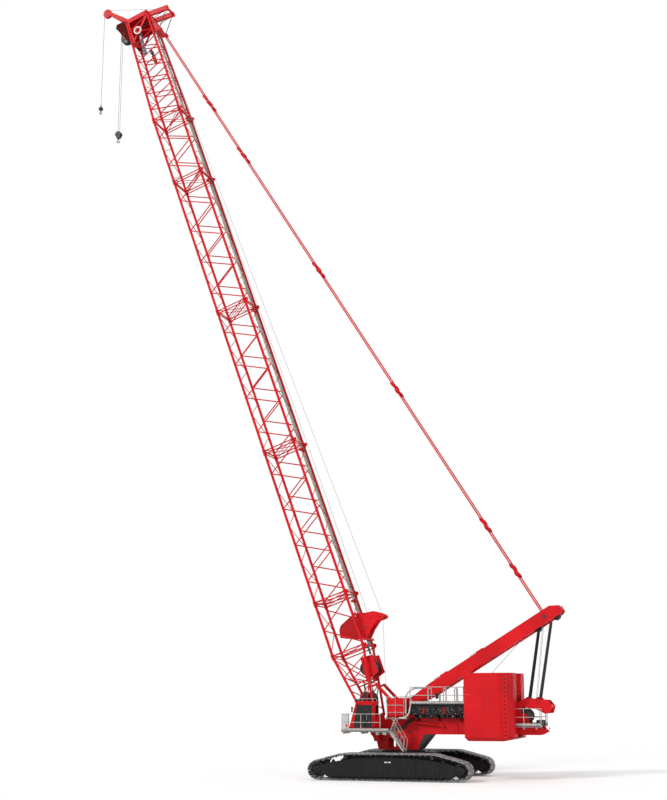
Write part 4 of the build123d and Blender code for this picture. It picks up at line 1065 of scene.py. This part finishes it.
def head_details():
    """Ring sheave, blue-grey tube, braces, boxes and bolts of the head."""
    pale, steel, dark, bolts = Piece(boom), Piece(boom), Piece(boom), Piece(boom)
    ring_place = (30.30, head_half_width + 0.055, -0.045)
    pale.lathe(rect(0.125, 0.175, -0.02, 0.03), ring_place, along_y, 28)
    for inner, outer in ((0.050, 0.125), (0.175, 0.195)):
        bolts.lathe(rect(inner, outer, -0.025, 0.025), ring_place, along_y, 28)
    tube_y = head_half_width - 0.090
    steel.rod((29.26, tube_y, -0.10), (30.30, tube_y + 0.03, -0.03), 0.078, 18, cut=0.01)
    steel.rod((29.18, tube_y, -0.105), (29.28, tube_y, -0.10), 0.092, 18, cut=0.01)
    dark.block((29.10, 0.05, 0.10), (29.30, 0.30, 0.20), 0.01)
    bolts.block((28.66, 0.12, 0.12), (28.98, 0.30, 0.24), 0.01)
    for side in (-1, 1):
        way, arm = (0, side, 0), side * 0.285
        dark.rod((30.05, arm, 0.86), (30.58, arm, 1.30), 0.018, 8)
        dark.rod((30.62, arm, 0.74), (30.70, arm, 1.44), 0.012, 8)
        for (t, v, _), y, ring, count, size in (
            (main_sheave, 0.416, 0.075, 8, 0.011), (tip_sheave, 0.058, 0.072, 8, 0.009),
        ):
            bolts.bolts_round((t, side * y, v), way, ring, count, size)
        for i in range(7):
            bolts.bolt((head_start + 0.048, side * 0.415, -0.34 + 0.14 * i), way, 0.010)
    dark.axle(main_sheave[0] + 0.45, -0.93, -head_half_width, head_half_width, 0.03, 12)
    for t in (30.25, 30.40):
        dark.axle(t, head_v[1] + 0.11, -0.35, 0.35, 0.035, 12, 0.004)
    pale.done("head_ring", "boom", ring_white)
    steel.done("head_tube", "boom", blue_steel)
    dark.done("head_fittings", "boom", dark_steel)
    bolts.done("head_bolts", "boom", deep_red)


def sheave_grooves():
    """Rims that show on the head sheaves and the tip sheave."""
    groove_half = 0.022
    for body, (t, v, radius), ys in (
        ("head_sheaves", main_sheave, (-0.07, 0.0, 0.07)), ("tip_sheave", tip_sheave, (0.0,)),
    ):
        rims = Piece(boom)
        for y, side in product(ys, (-1, 1)):
            place = (t, y + side * groove_half, v)
            rim = rect(radius - 0.035, radius - 0.002, 0.0, 0.003)
            rims.lathe(rim, place, (0, side, 0), drum_sides)
        rims.done(body + "_rims", body, black_part)


def hoist_ropes():
    """Hoist ropes from the drum in the butt and the guide to the head and its sheaves."""
    ropes = Piece(boom)
    (low_t, low_v), (high_t, high_v) = guide_low_roller, guide_roller
    drum_y = -0.120
    for y, t, v in ((drum_y, low_t, low_v + 0.046), (0.080, high_t, high_v + 0.056)):
        ropes.rod((t, y, v), (arm_roller[0], y, arm_roller[1]), rope_radius, 6)
    drum_top = (boom_drum[0], drum_y, boom_drum[1] + 0.238)
    ropes.rod(drum_top, (low_t, drum_y, low_v - 0.046), rope_radius, 6)
    main_t, main_v, radius = main_sheave
    for y in (-0.07, 0.07):
        ropes.pipe([
            (arm_roller[0], y, arm_roller[1]), (30.72, y, 0.55), (main_t + radius, y, -0.40),
            (main_t + radius - 0.001, y, main_v),
        ], rope_radius, 6)
    tip_t, tip_v, radius = tip_sheave
    ropes.pipe([
        (arm_roller[0], 0.0, arm_roller[1]), (30.85, 0.0, 1.47),
        (tip_t + radius * 0.75, 0.0, tip_v + radius * 0.70),
    ], rope_radius, 6)
    ropes.done("hoist_ropes", "boom", rope_steel)


def lead_rope():
    """The rope from the guide over a fairlead sheave to the drum on the bed."""
    fairlead, rope, run = Piece(), Piece(), Piece()
    low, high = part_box("bed_drum")
    sheave, radius, groove = Vector((0.470, 0.080, 2.560)), 0.110, 0.020
    x, y, z = sheave
    fairlead.lathe([
        (0.030, -groove), (radius, -groove), (radius - 0.016, 0.0), (radius, groove), (0.030, groove),
    ], sheave, along_y, 28)
    cheek = [(x - 0.060, z + 0.060), (x - 0.360, 2.330), (x - 0.220, 2.110), (x + 0.050, z - 0.050)]
    for side in (-1, 1):
        fairlead.plate(cheek, y + side * 0.034, y + side * 0.034 + side * 0.012)
    fairlead.axle(x, z, y - 0.055, y + 0.055, 0.026, 14)
    fairlead.done("bed_fairlead", "upperworks", dark_steel)
    start = boom @ Vector((guide_roller[0], y, guide_roller[1] + 0.056))
    end = sheave + Vector((radius, 0, groove))
    rope.rod(start, end, rope_radius, 6)
    rope.stretched("lead_rope", rope_steel, "boom", "upperworks", start, end)
    run.rod((x, y, z - radius), ((low.x + high.x) / 2 + 0.1, y, high.z - 0.040), rope_radius, 6)
    run.done("bed_drum_lead", "upperworks", rope_steel)


# Mast, reeving and pendants

def reeving():
    """The boom hoist's two bands of rope between the gantry and the mast, and its lead ropes."""
    pitch, taper, off = 0.062, 0.85, 0.02
    for index, (low, high) in enumerate((
        ((-4.485, 0, 2.640), (-4.905, 0, 5.070)), ((-4.845, 0, 2.620), (-5.315, 0, 5.200)),
    ), 1):
        start, end = Vector(low), Vector(high)
        rope = Piece()
        for i in range(9):
            y = pitch * (i - 4)
            rope.rod(start + Vector((off, y, 0)), end + Vector((off, y * taper, 0)), 0.017, 6)
        name = "boom_hoist_rope_%d" % index
        rope.stretched(name, dark_rope, "upperworks", "mast", start, end)
    rope = Piece()
    start, end = Vector((-4.70, 0, 2.62)), Vector((-5.02, 0, 5.10))
    for y in (-0.10, 0.10):
        rope.rod(start + Vector((0, y, 0)), end + Vector((0, y, 0)), rope_radius, 6)
    rope.stretched("boom_hoist_lead", rope_steel, "upperworks", "mast", start, end)


def mast_details():
    """Edge strips, rests, pins and hand holds of the mast, and the line to its underside."""
    trim, pins, grey, line = Piece(mast), Piece(mast), Piece(mast), Piece()
    length, low = mast_run.length, mast_half_depth
    strip_half = low * 0.92
    for side in (-1, 1):
        outer = side * mast_leg_outer
        for x in (1.2, 2.6, 4.0, 5.2):
            trim.block((x - 0.02, outer, -strip_half), (x + 0.02, outer + side * 0.006, strip_half), 0.002)
        trim.axle(length, 0, outer, outer + side * 0.004, 0.130, 24, 0.002)
        pin_end = outer + side * 0.044
        pins.axle(length, 0, outer + side * 0.024, pin_end, 0.055, 18, 0.006)
        pins.bolts_round((length, pin_end, 0), (0, side, 0), 0.034, 6, 0.007)
        trim.axle(0, 0, outer, outer + side * 0.02, 0.085, 20, 0.006)
        for x in (1.9, 3.4):
            y0, y1, hold_y = outer - side * 0.12, outer - side * 0.02, outer - side * 0.07
            trim.block((x, y0, -low - 0.035), (x + 0.30, y1, -low - 0.002), 0.006)
            grey.rod((x - 0.26, hold_y, -low - 0.03), (x - 0.04, hold_y, -low - 0.03), 0.012, 8)
    trim.block((5.020, 0.240, low + 0.002), (5.110, 0.330, low + 0.070), 0.006)
    trim.block((4.62, -0.20, low - 0.10), (4.72, 0.20, low - 0.02), 0.006)
    trim.done("mast_trim", "mast", red)
    pins.done("mast_pins", "mast", dark_steel)
    grey.done("mast_hand_holds", "mast", galvanised)
    start, end = Vector((-1.930, 0.285, 2.130)), mast @ Vector((5.080, 0.285, low))
    line.rod(start, end, 0.008, 8)
    line.stretched("mast_tag_line", rope_steel, "upperworks", "mast", start, end)


def pendant_straps(name, side):
    """Flat straps in pairs, their pinned link plates and eyes."""
    straps = Piece(strap)
    length = strap_run.length
    thick, half, link_back, pin_gap = 0.012, 0.014, 0.14, 0.155
    inner = side * (mast_leg_inner - 0.006)
    outer = side * (mast_leg_outer + 0.006)
    stations = (0.0,) + strap_links + (length,)
    waist = ((0.25, 0.030), (0.21, 0.048), (0.10, 0.048), (0.05, 0.020))
    upper = [(-dt, v) for dt, v in waist] + [(dt, v) for dt, v in reversed(waist)]
    link = [(dt, -v) for dt, v in upper] + upper[::-1]
    for y, out in ((inner, -side), (outer, side)):
        y0, y1 = sorted((y, y + out * thick))
        for a, b in zip(stations, stations[1:]):
            start = a + (link_back if a else 0.0)
            end = b - (link_back if b < length else 0.0)
            straps.block((start, y0, -half), (end, y1, half), 0.002)
        for t in (0.0, length):
            straps.axle(t, 0, y0, y1, 0.060, 24)
        for t in strap_links:
            straps.plate([(t + dt, v) for dt, v in link], y0, y1)
    y0, y1 = sorted((inner - side * 0.020, outer + side * 0.020))
    for t, dt in product(strap_links, (-pin_gap, pin_gap)):
        straps.axle(t + dt, 0, y0, y1, 0.022, 12, 0.003)
    straps.done("pendant_straps_" + name, "pendants", red, node="pendants_" + name)


# Hooks

def hook_details():
    """Hub plates and bolts of the main block, and the band of the ball."""
    low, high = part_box("main_hook_block")
    block_x, pin_z = (low.x + high.x) / 2, high.z - 0.13
    trim = Piece()
    for side in (-1, 1):
        trim.bolts_round((block_x, side * 0.087, pin_z), (0, side, 0), 0.085, 8, 0.011)
        trim.axle(block_x, pin_z, side * 0.087, side * 0.109, 0.05, 18, 0.005)
    trim.done("main_hook_trim", "main_hook", dark_steel)
    low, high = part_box("tip_hook")
    trim = Piece()
    ball_centre = ((low.x + high.x) / 2, 0, high.z - 0.177)
    trim.lathe(rect(0.094, 0.099, -0.010, 0.010), ball_centre, upward, 32)
    trim.done("tip_hook_trim", "tip_hook", dark_steel)


# Upperworks

def stack_plates(name, side):
    """Counterweight plates with fine seams, lifting lugs and a slotted corner column, whose slots are black
    blocks of painted shade.
    """
    plates, slots, lugs = Piece(), Piece(), Piece()
    x0, x1, y0, y1 = -4.100, -2.475, 0.450, 1.300
    cut, cut_y = 0.170, 0.260
    pitch, count, foot, seam = 0.140, 15, 1.400, 0.0015
    outline = [(x1, y0), (x1, y1), (x0 + cut, y1), (x0, y1 - cut_y), (x0, y0)]
    face, lug_x, slot_x = side * y1, x0 + cut + 0.24, x0 + cut + 0.045
    for i in range(count):
        z = foot + pitch * i
        middle = z + pitch / 2
        corners = [(x, side * y) for x, y in outline]
        plates.prism([(x, y, z) for x, y in corners], [(x, y, z + pitch - seam) for x, y in corners])
        lugs.axle(lug_x, middle, face - side * 0.02, face + side * 0.030, 0.030, 14, 0.004)
        lugs.block((lug_x - 0.09, face, middle - 0.050), (lug_x - 0.07, face + side * 0.014, middle + 0.050))
        # Painted shade: a black block on the face stands for the shade inside each slot of the corner
        # column.
        slots.block((slot_x, face - side * 0.02, middle - 0.030),
                    (slot_x + 0.045, face + side * 0.004, middle + 0.030), 0.004)
        for x in (x1 - 0.14, x1 - 0.62):
            lugs.bolt((x, face, middle), (0, side, 0), 0.008, 0.004)
    plates.done("counterweight_plates_" + name, "upperworks", red, node="counterweight_" + name)
    lugs.done("counterweight_lugs_" + name, "upperworks", red)
    # The slots' black blocks are painted shade.
    slots.done("counterweight_slot_shade_" + name, "upperworks", black_part)


def bed_details():
    """Strips, pins, ports, rods and hoses of the rotating bed, and black sheets of painted shade at its
    pedestal's rear.
    """
    trim, dark, bolts, ports = Piece(), Piece(), Piece(), Piece()
    # Outlines of thin black sheets that paint the shade at the pedestal's rear edge: one for each side face,
    # one across the back.
    pedestal_shade = [(-0.625, 0.970), (-0.655, 0.970), (-1.068, 1.462), (-0.855, 1.462)]
    rear_shade = [(-0.645, 0.955), (-1.074, 1.463), (-1.090, 1.463), (-0.661, 0.955)]
    (xa, za), (xb, zb), (xc, zc) = (-0.55, 1.865), (-1.35, 1.775), (-1.55, 1.752)
    port_x, port_z = -0.33, 1.545
    for side in (-1, 1):
        way, face = (0, side, 0), side * bed_half
        strip = face + side * 0.012
        for x0, x1, z0, z1 in ((-2.40, -0.70, 1.485, 1.505), (-2.40, 0.40, 2.085, 2.110)):
            trim.block((x0, face, z0), (x1, strip, z1), 0.002)
        for x in (-0.95, -1.50, -2.05):
            trim.block((x - 0.008, face, 1.51), (x + 0.008, strip, 1.84), 0.002)
        trim.axle(port_x, port_z, face, face + side * 0.018, 0.085, 24, 0.004)
        dark.axle(port_x, port_z, face, face + side * 0.026, 0.055, 24, 0.004)
        bolts.bolts_round((port_x, face + side * 0.014, port_z), way, 0.070, 10, 0.008)
        foot_y = side * 0.690
        bolts.axle(boom_foot.x, boom_foot.z, foot_y, foot_y + side * 0.025, 0.060, 20, 0.005)
        bolts.bolts_round((boom_foot.x, foot_y, boom_foot.z), way, 0.105, 8, 0.010)
        for x, z in ((-0.52, 1.30), (0.55, 1.25), (0.60, 1.05), (-0.45, 1.12)):
            bolts.bolt((x, face, z), way, 0.016, 0.012)
        for x, z, radius in ((-0.02, 1.54, 0.035), (0.05, 1.60, 0.028), (0.10, 1.53, 0.0245)):
            ports.axle(x, z, face, face + side * 0.06, radius, 14, 0.006)
        for k in range(4):
            z = 1.62 + 0.035 * k
            dark.bent([
                (0.30, face + side * 0.03, z), (-0.15, face + side * 0.05, z),
                (-0.28, face + side * 0.05, z + 0.20), (-0.52, face + side * 0.06, z + 0.30),
            ], 0.10, 0.011)
        y = face + side * 0.10
        trim.rod((xa, y, za), (xb, y, zb), 0.038, 14, cut=0.006)
        trim.rod((xb, y, zb), (xc, y, zc), 0.020, 12)
        for x, z in ((xa, za), (xc, zc)):
            trim.axle(x, z, face, face + side * 0.13, 0.045, 16, 0.005)
        # Painted shade: a thin black sheet on the side face at the pedestal's rear edge.
        dark.plate(pedestal_shade, face, face + side * 0.006)
    # Painted shade: a black sheet across the pedestal's back.
    dark.plate(rear_shade, -bed_half - 0.004, bed_half + 0.004)
    trim.done("bed_trim", "upperworks", red)
    # The black pieces: hoses, port insides and the painted shade sheets.
    dark.done("bed_hoses_and_shade_sheets", "upperworks", hose)
    bolts.done("bed_bolts", "upperworks", deep_red)
    ports.done("bed_fittings", "upperworks", amber)


def house_doors(doors, louvres, latches, side, y, front, top, bottom):
    """Four louvred doors with latches along a machinery house."""
    for i in range(4):
        x0 = front - 0.03 - 0.46 * i
        x1 = x0 - 0.43
        doors.block((x1, y, bottom + 0.025), (x0, y + side * 0.012, top - 0.02), 0.004)
        for k in range(6):
            z = bottom + 0.06 + 0.038 * k
            louvres.block((x1 + 0.04, y + side * 0.010, z), (x0 - 0.04, y + side * 0.026, z + 0.014), 0.003)
        latches.axle(x0 - 0.05, bottom + 0.17, y + side * 0.012, y + side * 0.030, 0.014, 10)


def machinery(name, side):
    """Doors, pumps, filters, brackets and looped hoses of a machinery house."""
    doors, dark, bright, lines, reds = Piece(), Piece(), Piece(), Piece(), Piece()
    low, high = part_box("machine_house_" + name)
    y, front = side * 0.760, high.x
    top, bottom = high.z, high.z - 0.33
    house_doors(doors, dark, bright, side, y, front, top, bottom)
    for i in range(9):
        x = front - 0.16 - 0.215 * i
        a = Vector((x, side * 0.62, bottom + 0.01))
        drop = 0.06 + 0.035 * (i % 3)
        lines.bent([
            a, a + Vector((-0.02, side * 0.02, -drop)), a + Vector((-0.11, side * 0.03, -drop)),
            a + Vector((-0.14, 0, 0.0)),
        ], 0.05, 0.012)
        if i % 2 == 0:
            end = (x - 0.06, side * 0.50, bottom - 0.01)
            dark.rod(end, (end[0], end[1], bottom - 0.15), 0.045, 14, cut=0.006)
    for i in range(5):
        x = front - 0.30 - 0.38 * i
        dark.block((x - 0.11, side * 0.43, bottom - 0.12), (x + 0.05, side * 0.58, bottom - 0.004), 0.01)
        bright.axle(x, bottom - 0.06, side * 0.585, side * 0.60, 0.022, 12)
    face = y + side * 0.014
    deep, proud = face - side * 0.05, face + side * 0.05
    for i in range(8):
        x = front - 0.14 - 0.235 * i
        z = bottom + 0.13 + 0.05 * (i % 2)
        dark.axle(x, z, face - side * 0.02, face + side * 0.045, 0.045 + 0.018 * (i % 3), 18, 0.008)
        lines.bent([
            (x + 0.07, face, bottom + 0.28), (x + 0.05, proud, bottom + 0.10),
            (x - 0.02, proud, bottom - 0.08 - 0.03 * (i % 3)), (x - 0.10, deep, bottom - 0.12),
        ], 0.06, 0.016)
        if i % 3 == 1:
            reds.block((x - 0.13, face - side * 0.01, bottom + 0.02),
                       (x - 0.07, face + side * 0.03, bottom + 0.24), 0.005)
        bright.axle(x - 0.04, z - 0.10, face, face + side * 0.035, 0.012, 8)
    for k in range(3):
        z = bottom - 0.03 - 0.035 * k
        lines.pipe([(front - 0.05, side * 0.44, z), (low.x + 0.10, side * 0.44, z)], 0.012, 8)
    reds.done("house_brackets_" + name, "upperworks", deep_red)
    doors.done("house_doors_" + name, "upperworks", black_part)
    dark.done("house_machinery_" + name, "upperworks", dark_steel)
    bright.done("house_latches_" + name, "upperworks", bare_steel)
    lines.done("house_hoses_" + name, "upperworks", hose)


def catwalk_rails(name, side):
    """Round-topped inner posts and the small black box on the catwalk rail."""
    rails, box = Piece(), Piece()
    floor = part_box("catwalk_" + name)[1].z - rail_height
    y, half = side * 0.839, 0.055
    for x in (-1.20, -1.72):
        rails.bent([(x - half, y, floor), (x - half, y, floor + 0.50), (x + half, y, floor + 0.50),
                    (x + half, y, floor)], 0.05, 0.014, 10)
    if side > 0:
        box.block((-1.49, y - 0.03, floor + 0.16), (-1.39, y + 0.03, floor + 0.34), 0.006)
        box.done("rail_box", "upperworks", black_part)
    rails.done("catwalk_loops_" + name, "upperworks", galvanised)


def service_rails(name, side):
    """Handrails round a service box, and the bent pipes beside it."""
    rails, pipe = Piece(), Piece()
    x0, x1, z0, z1 = -0.275, 0.330, 2.10, 2.72
    y, box_y = side * 0.865, side * 0.838
    for x in (x1, (x0 + x1) / 2, x0):
        rails.rod((x, y, z0 - 0.15), (x, y, z1), 0.011, 8)
    for z in (z1, z0 + 0.34, z0 + 0.10):
        rails.rod((x0, y, z), (x1, y, z), 0.010, 8)
        rails.axle(x1, z, y, side * 0.55, 0.010, 8)
    for x in (x0 + 0.10, x1 - 0.10):
        rails.axle(x, z0 + 0.05, box_y, y, 0.012, 8)
    if side > 0:
        arch = [(-0.345, 0.88, 2.16), (-0.345, 0.88, 2.80), (-0.60, 0.80, 3.02), (-1.02, 0.72, 3.02)]
        low_arch = [(-0.10, 0.90, 2.02), (-0.32, 0.90, 2.02), (-0.46, 0.88, 2.16), (-0.52, 0.80, 2.62)]
        pipe.bent(arch, 0.22, 0.030, 14, 8)
        pipe.bent(low_arch, 0.12, 0.034, 14, 8)
        pipe.block((-0.40, 0.72, 1.985), (0.06, 0.95, 2.015), 0.004)
    else:
        pipe.bent([(-0.40, -0.60, 2.52), (-0.52, -0.60, 2.96), (-1.0, -0.60, 2.96)], 0.2, 0.040, 14, 8)
    rails.done("service_rails_" + name, "upperworks", galvanised)
    pipe.done("bent_pipes_" + name, "upperworks", galvanised)


def stairs():
    """The upper flight above the access ladder, and the ladder's handrails."""
    steps = Piece()
    centre_y, treads, half_tread = 1.20, 4, Vector((0.05, 0.16, 0.006))
    top, foot = Vector((-0.11, centre_y, 2.02)), Vector((0.06, centre_y, 1.62))
    for dy in (-0.17, 0.17):
        steps.rod(top + Vector((0, dy, 0)), foot + Vector((0, dy, 0)), 0.018, 8)
    for i in range(treads):
        centre = top.lerp(foot, (i + 0.5) / treads)
        steps.block(centre - half_tread, centre + half_tread, 0.002)
    low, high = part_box("access_ladder")
    for y in (1.01, 1.41):
        steps.bent([
            (high.x + 0.02, y, high.z + 0.42), (high.x - 0.10, y, high.z + 0.40),
            (low.x - 0.02, y, low.z + 0.36), (low.x + 0.03, y, low.z + 0.05),
        ], 0.08, 0.011)
        for share in (0.25, 0.65):
            base = low.lerp(high, share)
            base.y = y
            steps.rod(base, base + Vector((-0.03, 0, 0.34)), 0.009, 8)
    steps.done("stair_rails", "upperworks", galvanised)


def platform_rails():
    """Close bars across the front of the cab platform, its beams and its lamp."""
    bars, trim, lamp = Piece(), Piece(), Piece()
    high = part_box("cab_platform")[1]
    floor = high.z - rail_height
    x, lamp_x = high.x - 0.020, 1.60
    for i in range(13):
        y = 0.74 + 0.062 * i
        bars.rod((x, y, floor), (x, y, high.z - 0.02), 0.006, 8)
    for x0 in (0.30, 1.05, 1.70):
        trim.block((x0, 0.70, floor - 0.105), (x0 + 0.03, 1.50, floor - 0.045), 0.004)
    bars.axle(0.395, floor + 0.55, 1.505, 1.30, 0.011, 8)
    lamp.axle(lamp_x, floor + 0.17, 1.43, 1.49, 0.042, 18, 0.01)
    trim.rod((lamp_x, 1.44, floor), (lamp_x, 1.44, floor + 0.16), 0.012, 8)
    bars.done("platform_bars", "upperworks", galvanised)
    trim.done("platform_beams", "upperworks", galvanised)
    lamp.done("platform_lamp", "upperworks", red_lens)


# Cab

cab_nose = (1.580, 1.705)
cab_head = (1.340, 2.530)
sill, head_line = 1.835, 2.440
cab_inner, cab_middle, cab_outer = 0.765, 0.990, 1.215


def cab_front(z, inset=0.0):
    """The X of the leaning cab front at height z."""
    share = (z - cab_nose[1]) / (cab_head[1] - cab_nose[1])
    return cab_nose[0] + (cab_head[0] - cab_nose[0]) * share - inset


def cab_door():
    """The sliding door as a thin frame round its pane, with its hangers."""
    door = Piece()
    x0, y0, y1 = 0.705, 1.241, 1.265
    low, top, bar, foot = 1.640, 2.485, 0.032, 0.060
    front_low, front_top = cab_front(sill, 0.115), cab_front(top, 0.045)
    for outline in (
        rect(x0, front_low, low, low + foot),
        rect(x0, x0 + bar, low, top),
        rect(x0, front_top, top - bar, top),
        [(front_low - bar, low), (front_low, low), (front_low, sill), (front_top, top),
         (front_top - bar, top), (front_low - bar, sill)],
    ):
        door.plate(outline, y0, y1)
    for x in (1.110, 1.250):
        door.block((x - 0.022, 1.2573, 2.445), (x + 0.022, y1, 2.523), 0.003)
        door.axle(x, 2.514, y0, y1, 0.009)
    door.done("door_frame", "cab_door", red, node="cab_door")


def framed(panes, seals, outline, y0, y1):
    """A pane in its rubber seal."""
    panes.plate(outline, y0, y1)
    for (xa, za), (xb, zb) in zip(outline, outline[1:] + outline[:1]):
        for y in (y0 - 0.005, y1 + 0.005):
            seals.rod((xa, y, za), (xb, y, zb), 0.008, 6)


def cab_glass():
    """The cab's panes with their seals: front, inner side, rear and the door's."""
    panes, seals, door_pane, door_seal = Piece(), Piece(), Piece(), Piece()
    low, top, rear, seal = 1.703, 2.450, 0.741, 0.009
    framed(door_pane, door_seal, [
        (rear, low), (cab_front(sill, 0.150), low), (cab_front(sill, 0.150), sill),
        (cab_front(top, 0.080), top), (rear, top),
    ], 1.249, 1.256)
    door_seal.rod((0.955, 1.260, low), (0.955, 1.260, top), 0.011, 8)
    framed(panes, seals, [
        (0.77, sill), (cab_front(sill, 0.09), sill), (cab_front(head_line, 0.09), head_line),
        (0.77, head_line),
    ], 0.754, 0.761)
    x0, x1 = cab_front(sill, 0.016), cab_front(head_line, 0.016)
    xa, xb, ya, yb = x0 + 0.006, x1 + 0.006, 0.803, 1.177
    panes.plate([(x0, sill), (xa, sill), (xb, head_line), (x1, head_line)], 0.800, 1.180)
    for y in (ya, yb):
        seals.rod((xa, y, sill), (xb, y, head_line), seal, 6)
    for x, z in ((xa, sill), (xb, head_line)):
        seals.axle(x, z, ya, yb, seal, 6)
    rear_x, rear_low, ya, yb = 0.660, sill + 0.25, 0.835, 1.145
    panes.block((0.669, 0.830, sill + 0.245), (0.675, 1.150, head_line + 0.005), 0.001)
    for y in (ya, yb):
        seals.rod((rear_x, y, rear_low), (rear_x, y, head_line), seal, 6)
    for z in (rear_low, head_line):
        seals.axle(rear_x, z, ya, yb, seal, 6)
    panes.done("cab_panes", "upperworks", glass)
    seals.done("cab_seals", "upperworks", hose)
    door_pane.done("door_pane", "cab_door", glass)
    door_seal.done("door_seal", "cab_door", hose)


def cab_fittings():
    """Consoles, levers, screen and pedals inside the cab."""
    inside, dark = Piece(), Piece()
    floor, console_top = 1.630, 1.930
    for y in (0.812, 1.142):
        inside.block((0.86, y, floor), (1.16, y + 0.055, console_top), 0.012)
        lever_y = y + 0.028
        dark.rod((1.10, lever_y, console_top), (1.12, lever_y, 2.04), 0.009, 8)
        dark.rod((1.12, lever_y, 2.03), (1.125, lever_y, 2.085), 0.020, 12, cut=0.006)
    panel = [(1.32, floor), (1.44, floor), (1.47, 1.80), (1.40, 1.90), (1.34, 1.88)]
    inside.plate(panel, 0.90, 1.10)
    inside.block((1.30, 1.06, 1.95), (1.33, 1.19, 2.06), 0.006)
    for y in (0.94, 1.04):
        dark.block((1.26, y - 0.025, 1.640), (1.34, y + 0.025, 1.665), 0.005)
    inside.done("cab_console", "upperworks", dark_steel)
    cab_outside(dark)


def cab_outside(dark):
    """Mirrors, wiper, roof lamps and grab rails of the cab, and the door's handle."""
    lens, rails, handle = Piece(), Piece(), Piece()
    mirror_z, mirror_x = 2.34, cab_front(2.34)
    for y, arm in ((1.255, 1.34), (0.735, 0.66)):
        dark.rod((mirror_x, y, mirror_z), (mirror_x + 0.05, arm, mirror_z + 0.02), 0.008, 8)
        dark.block((mirror_x + 0.03, arm - 0.05, 2.21), (mirror_x + 0.06, arm + 0.05, 2.40), 0.010)
    wiper_low, wiper_high = cab_front(1.80, -0.012), cab_front(2.20, -0.014)
    dark.rod((wiper_low, cab_middle, 1.80), (wiper_high, 0.91, 2.20), 0.006, 8)
    dark.rod((wiper_low, cab_middle, 1.79), (wiper_low - 0.03, cab_middle, 1.79), 0.022, 12)
    lamp_z, post_x = 2.605, 1.345
    for y in (0.82, 0.98, 1.16):
        dark.rod((1.33, y, lamp_z), (1.385, y, lamp_z), 0.040, 16, cut=0.008)
        dark.rod((post_x, y, 2.570), (post_x, y, 2.60), 0.010, 8)
        lens.rod((1.383, y, lamp_z), (1.390, y, lamp_z), 0.033, 16)
    rear, front, foot, top = 0.72, 1.25, 2.575, 2.66
    for y in (cab_outer, cab_inner):
        rails.bent([(rear, y, foot), (rear, y, top), (front, y, top), (front, y, foot)], 0.04, 0.009)
    x, y0, y1, z0, z1 = 0.93, 1.266, 1.290, 1.95, 2.16
    handle.bent([(x, y0, z0), (x, y1, z0), (x, y1, z1), (x, y0, z1)], 0.02, 0.008)
    lens.done("cab_lamps", "upperworks", clear_lens)
    dark.done("cab_mirrors", "upperworks", black_part)
    rails.done("cab_roof_rails", "upperworks", galvanised)
    handle.done("door_handle", "cab_door", galvanised)


def rear_deck():
    """Valve blocks, tank, hoses and marker lamps of the rear deck, and the gantry's bolts."""
    dark, bright, lines, lamps = Piece(), Piece(), Piece(), Piece()
    deck = 1.750
    tank_z = deck + 0.11
    for side in (-1, 1):
        dark.block((-4.02, side * 0.05, deck), (-3.86, side * 0.33, deck + 0.30), 0.012)
        dark.rod((-4.70, side * 0.18, tank_z), (-4.93, side * 0.18, tank_z), 0.095, 20, cut=0.012)
        for k in range(3):
            y = side * (0.10 + 0.07 * k)
            lines.bent([(-3.94, y, deck + 0.29), (-3.94, y, deck + 0.44), (-4.10, y, deck + 0.48),
                        (-4.20, y, deck + 0.30)], 0.08, 0.011)
        lamps.block((-5.06, side * 0.30, 1.62), (-5.035, side * 0.36, 1.70), 0.004)
        for x in (-4.44, -4.80):
            bright.bolts_round((x, side * 0.402, 2.56), (0, side, 0), 0.060, 8, 0.010)
    dark.done("rear_valves", "upperworks", black_part)
    bright.done("gantry_bolts", "upperworks", deep_red)
    lines.done("rear_hoses", "upperworks", hose)
    lamps.done("rear_lamps", "upperworks", red_lens)


dress_nodes()
set_camera()
set_stage()
for crawler_part in (track, side_frame, wheels, crawler_fill):
    both(crawler_part)
carbody_trim()
blank_plate()
walkway_floors()
boom_sections()
boom_fittings()
walkway_bars()
butt_details()
drums()
foot_drum()
rope_guide()
head_frame()
head_details()
sheave_grooves()
hoist_ropes()
lead_rope()
reeving()
mast_details()
both(pendant_straps)
hook_details()
both(stack_plates)
bed_details()
both(machinery)
both(catwalk_rails)
both(service_rails)
stairs()
platform_rails()
cab_door()
cab_glass()
cab_fittings()
rear_deck()
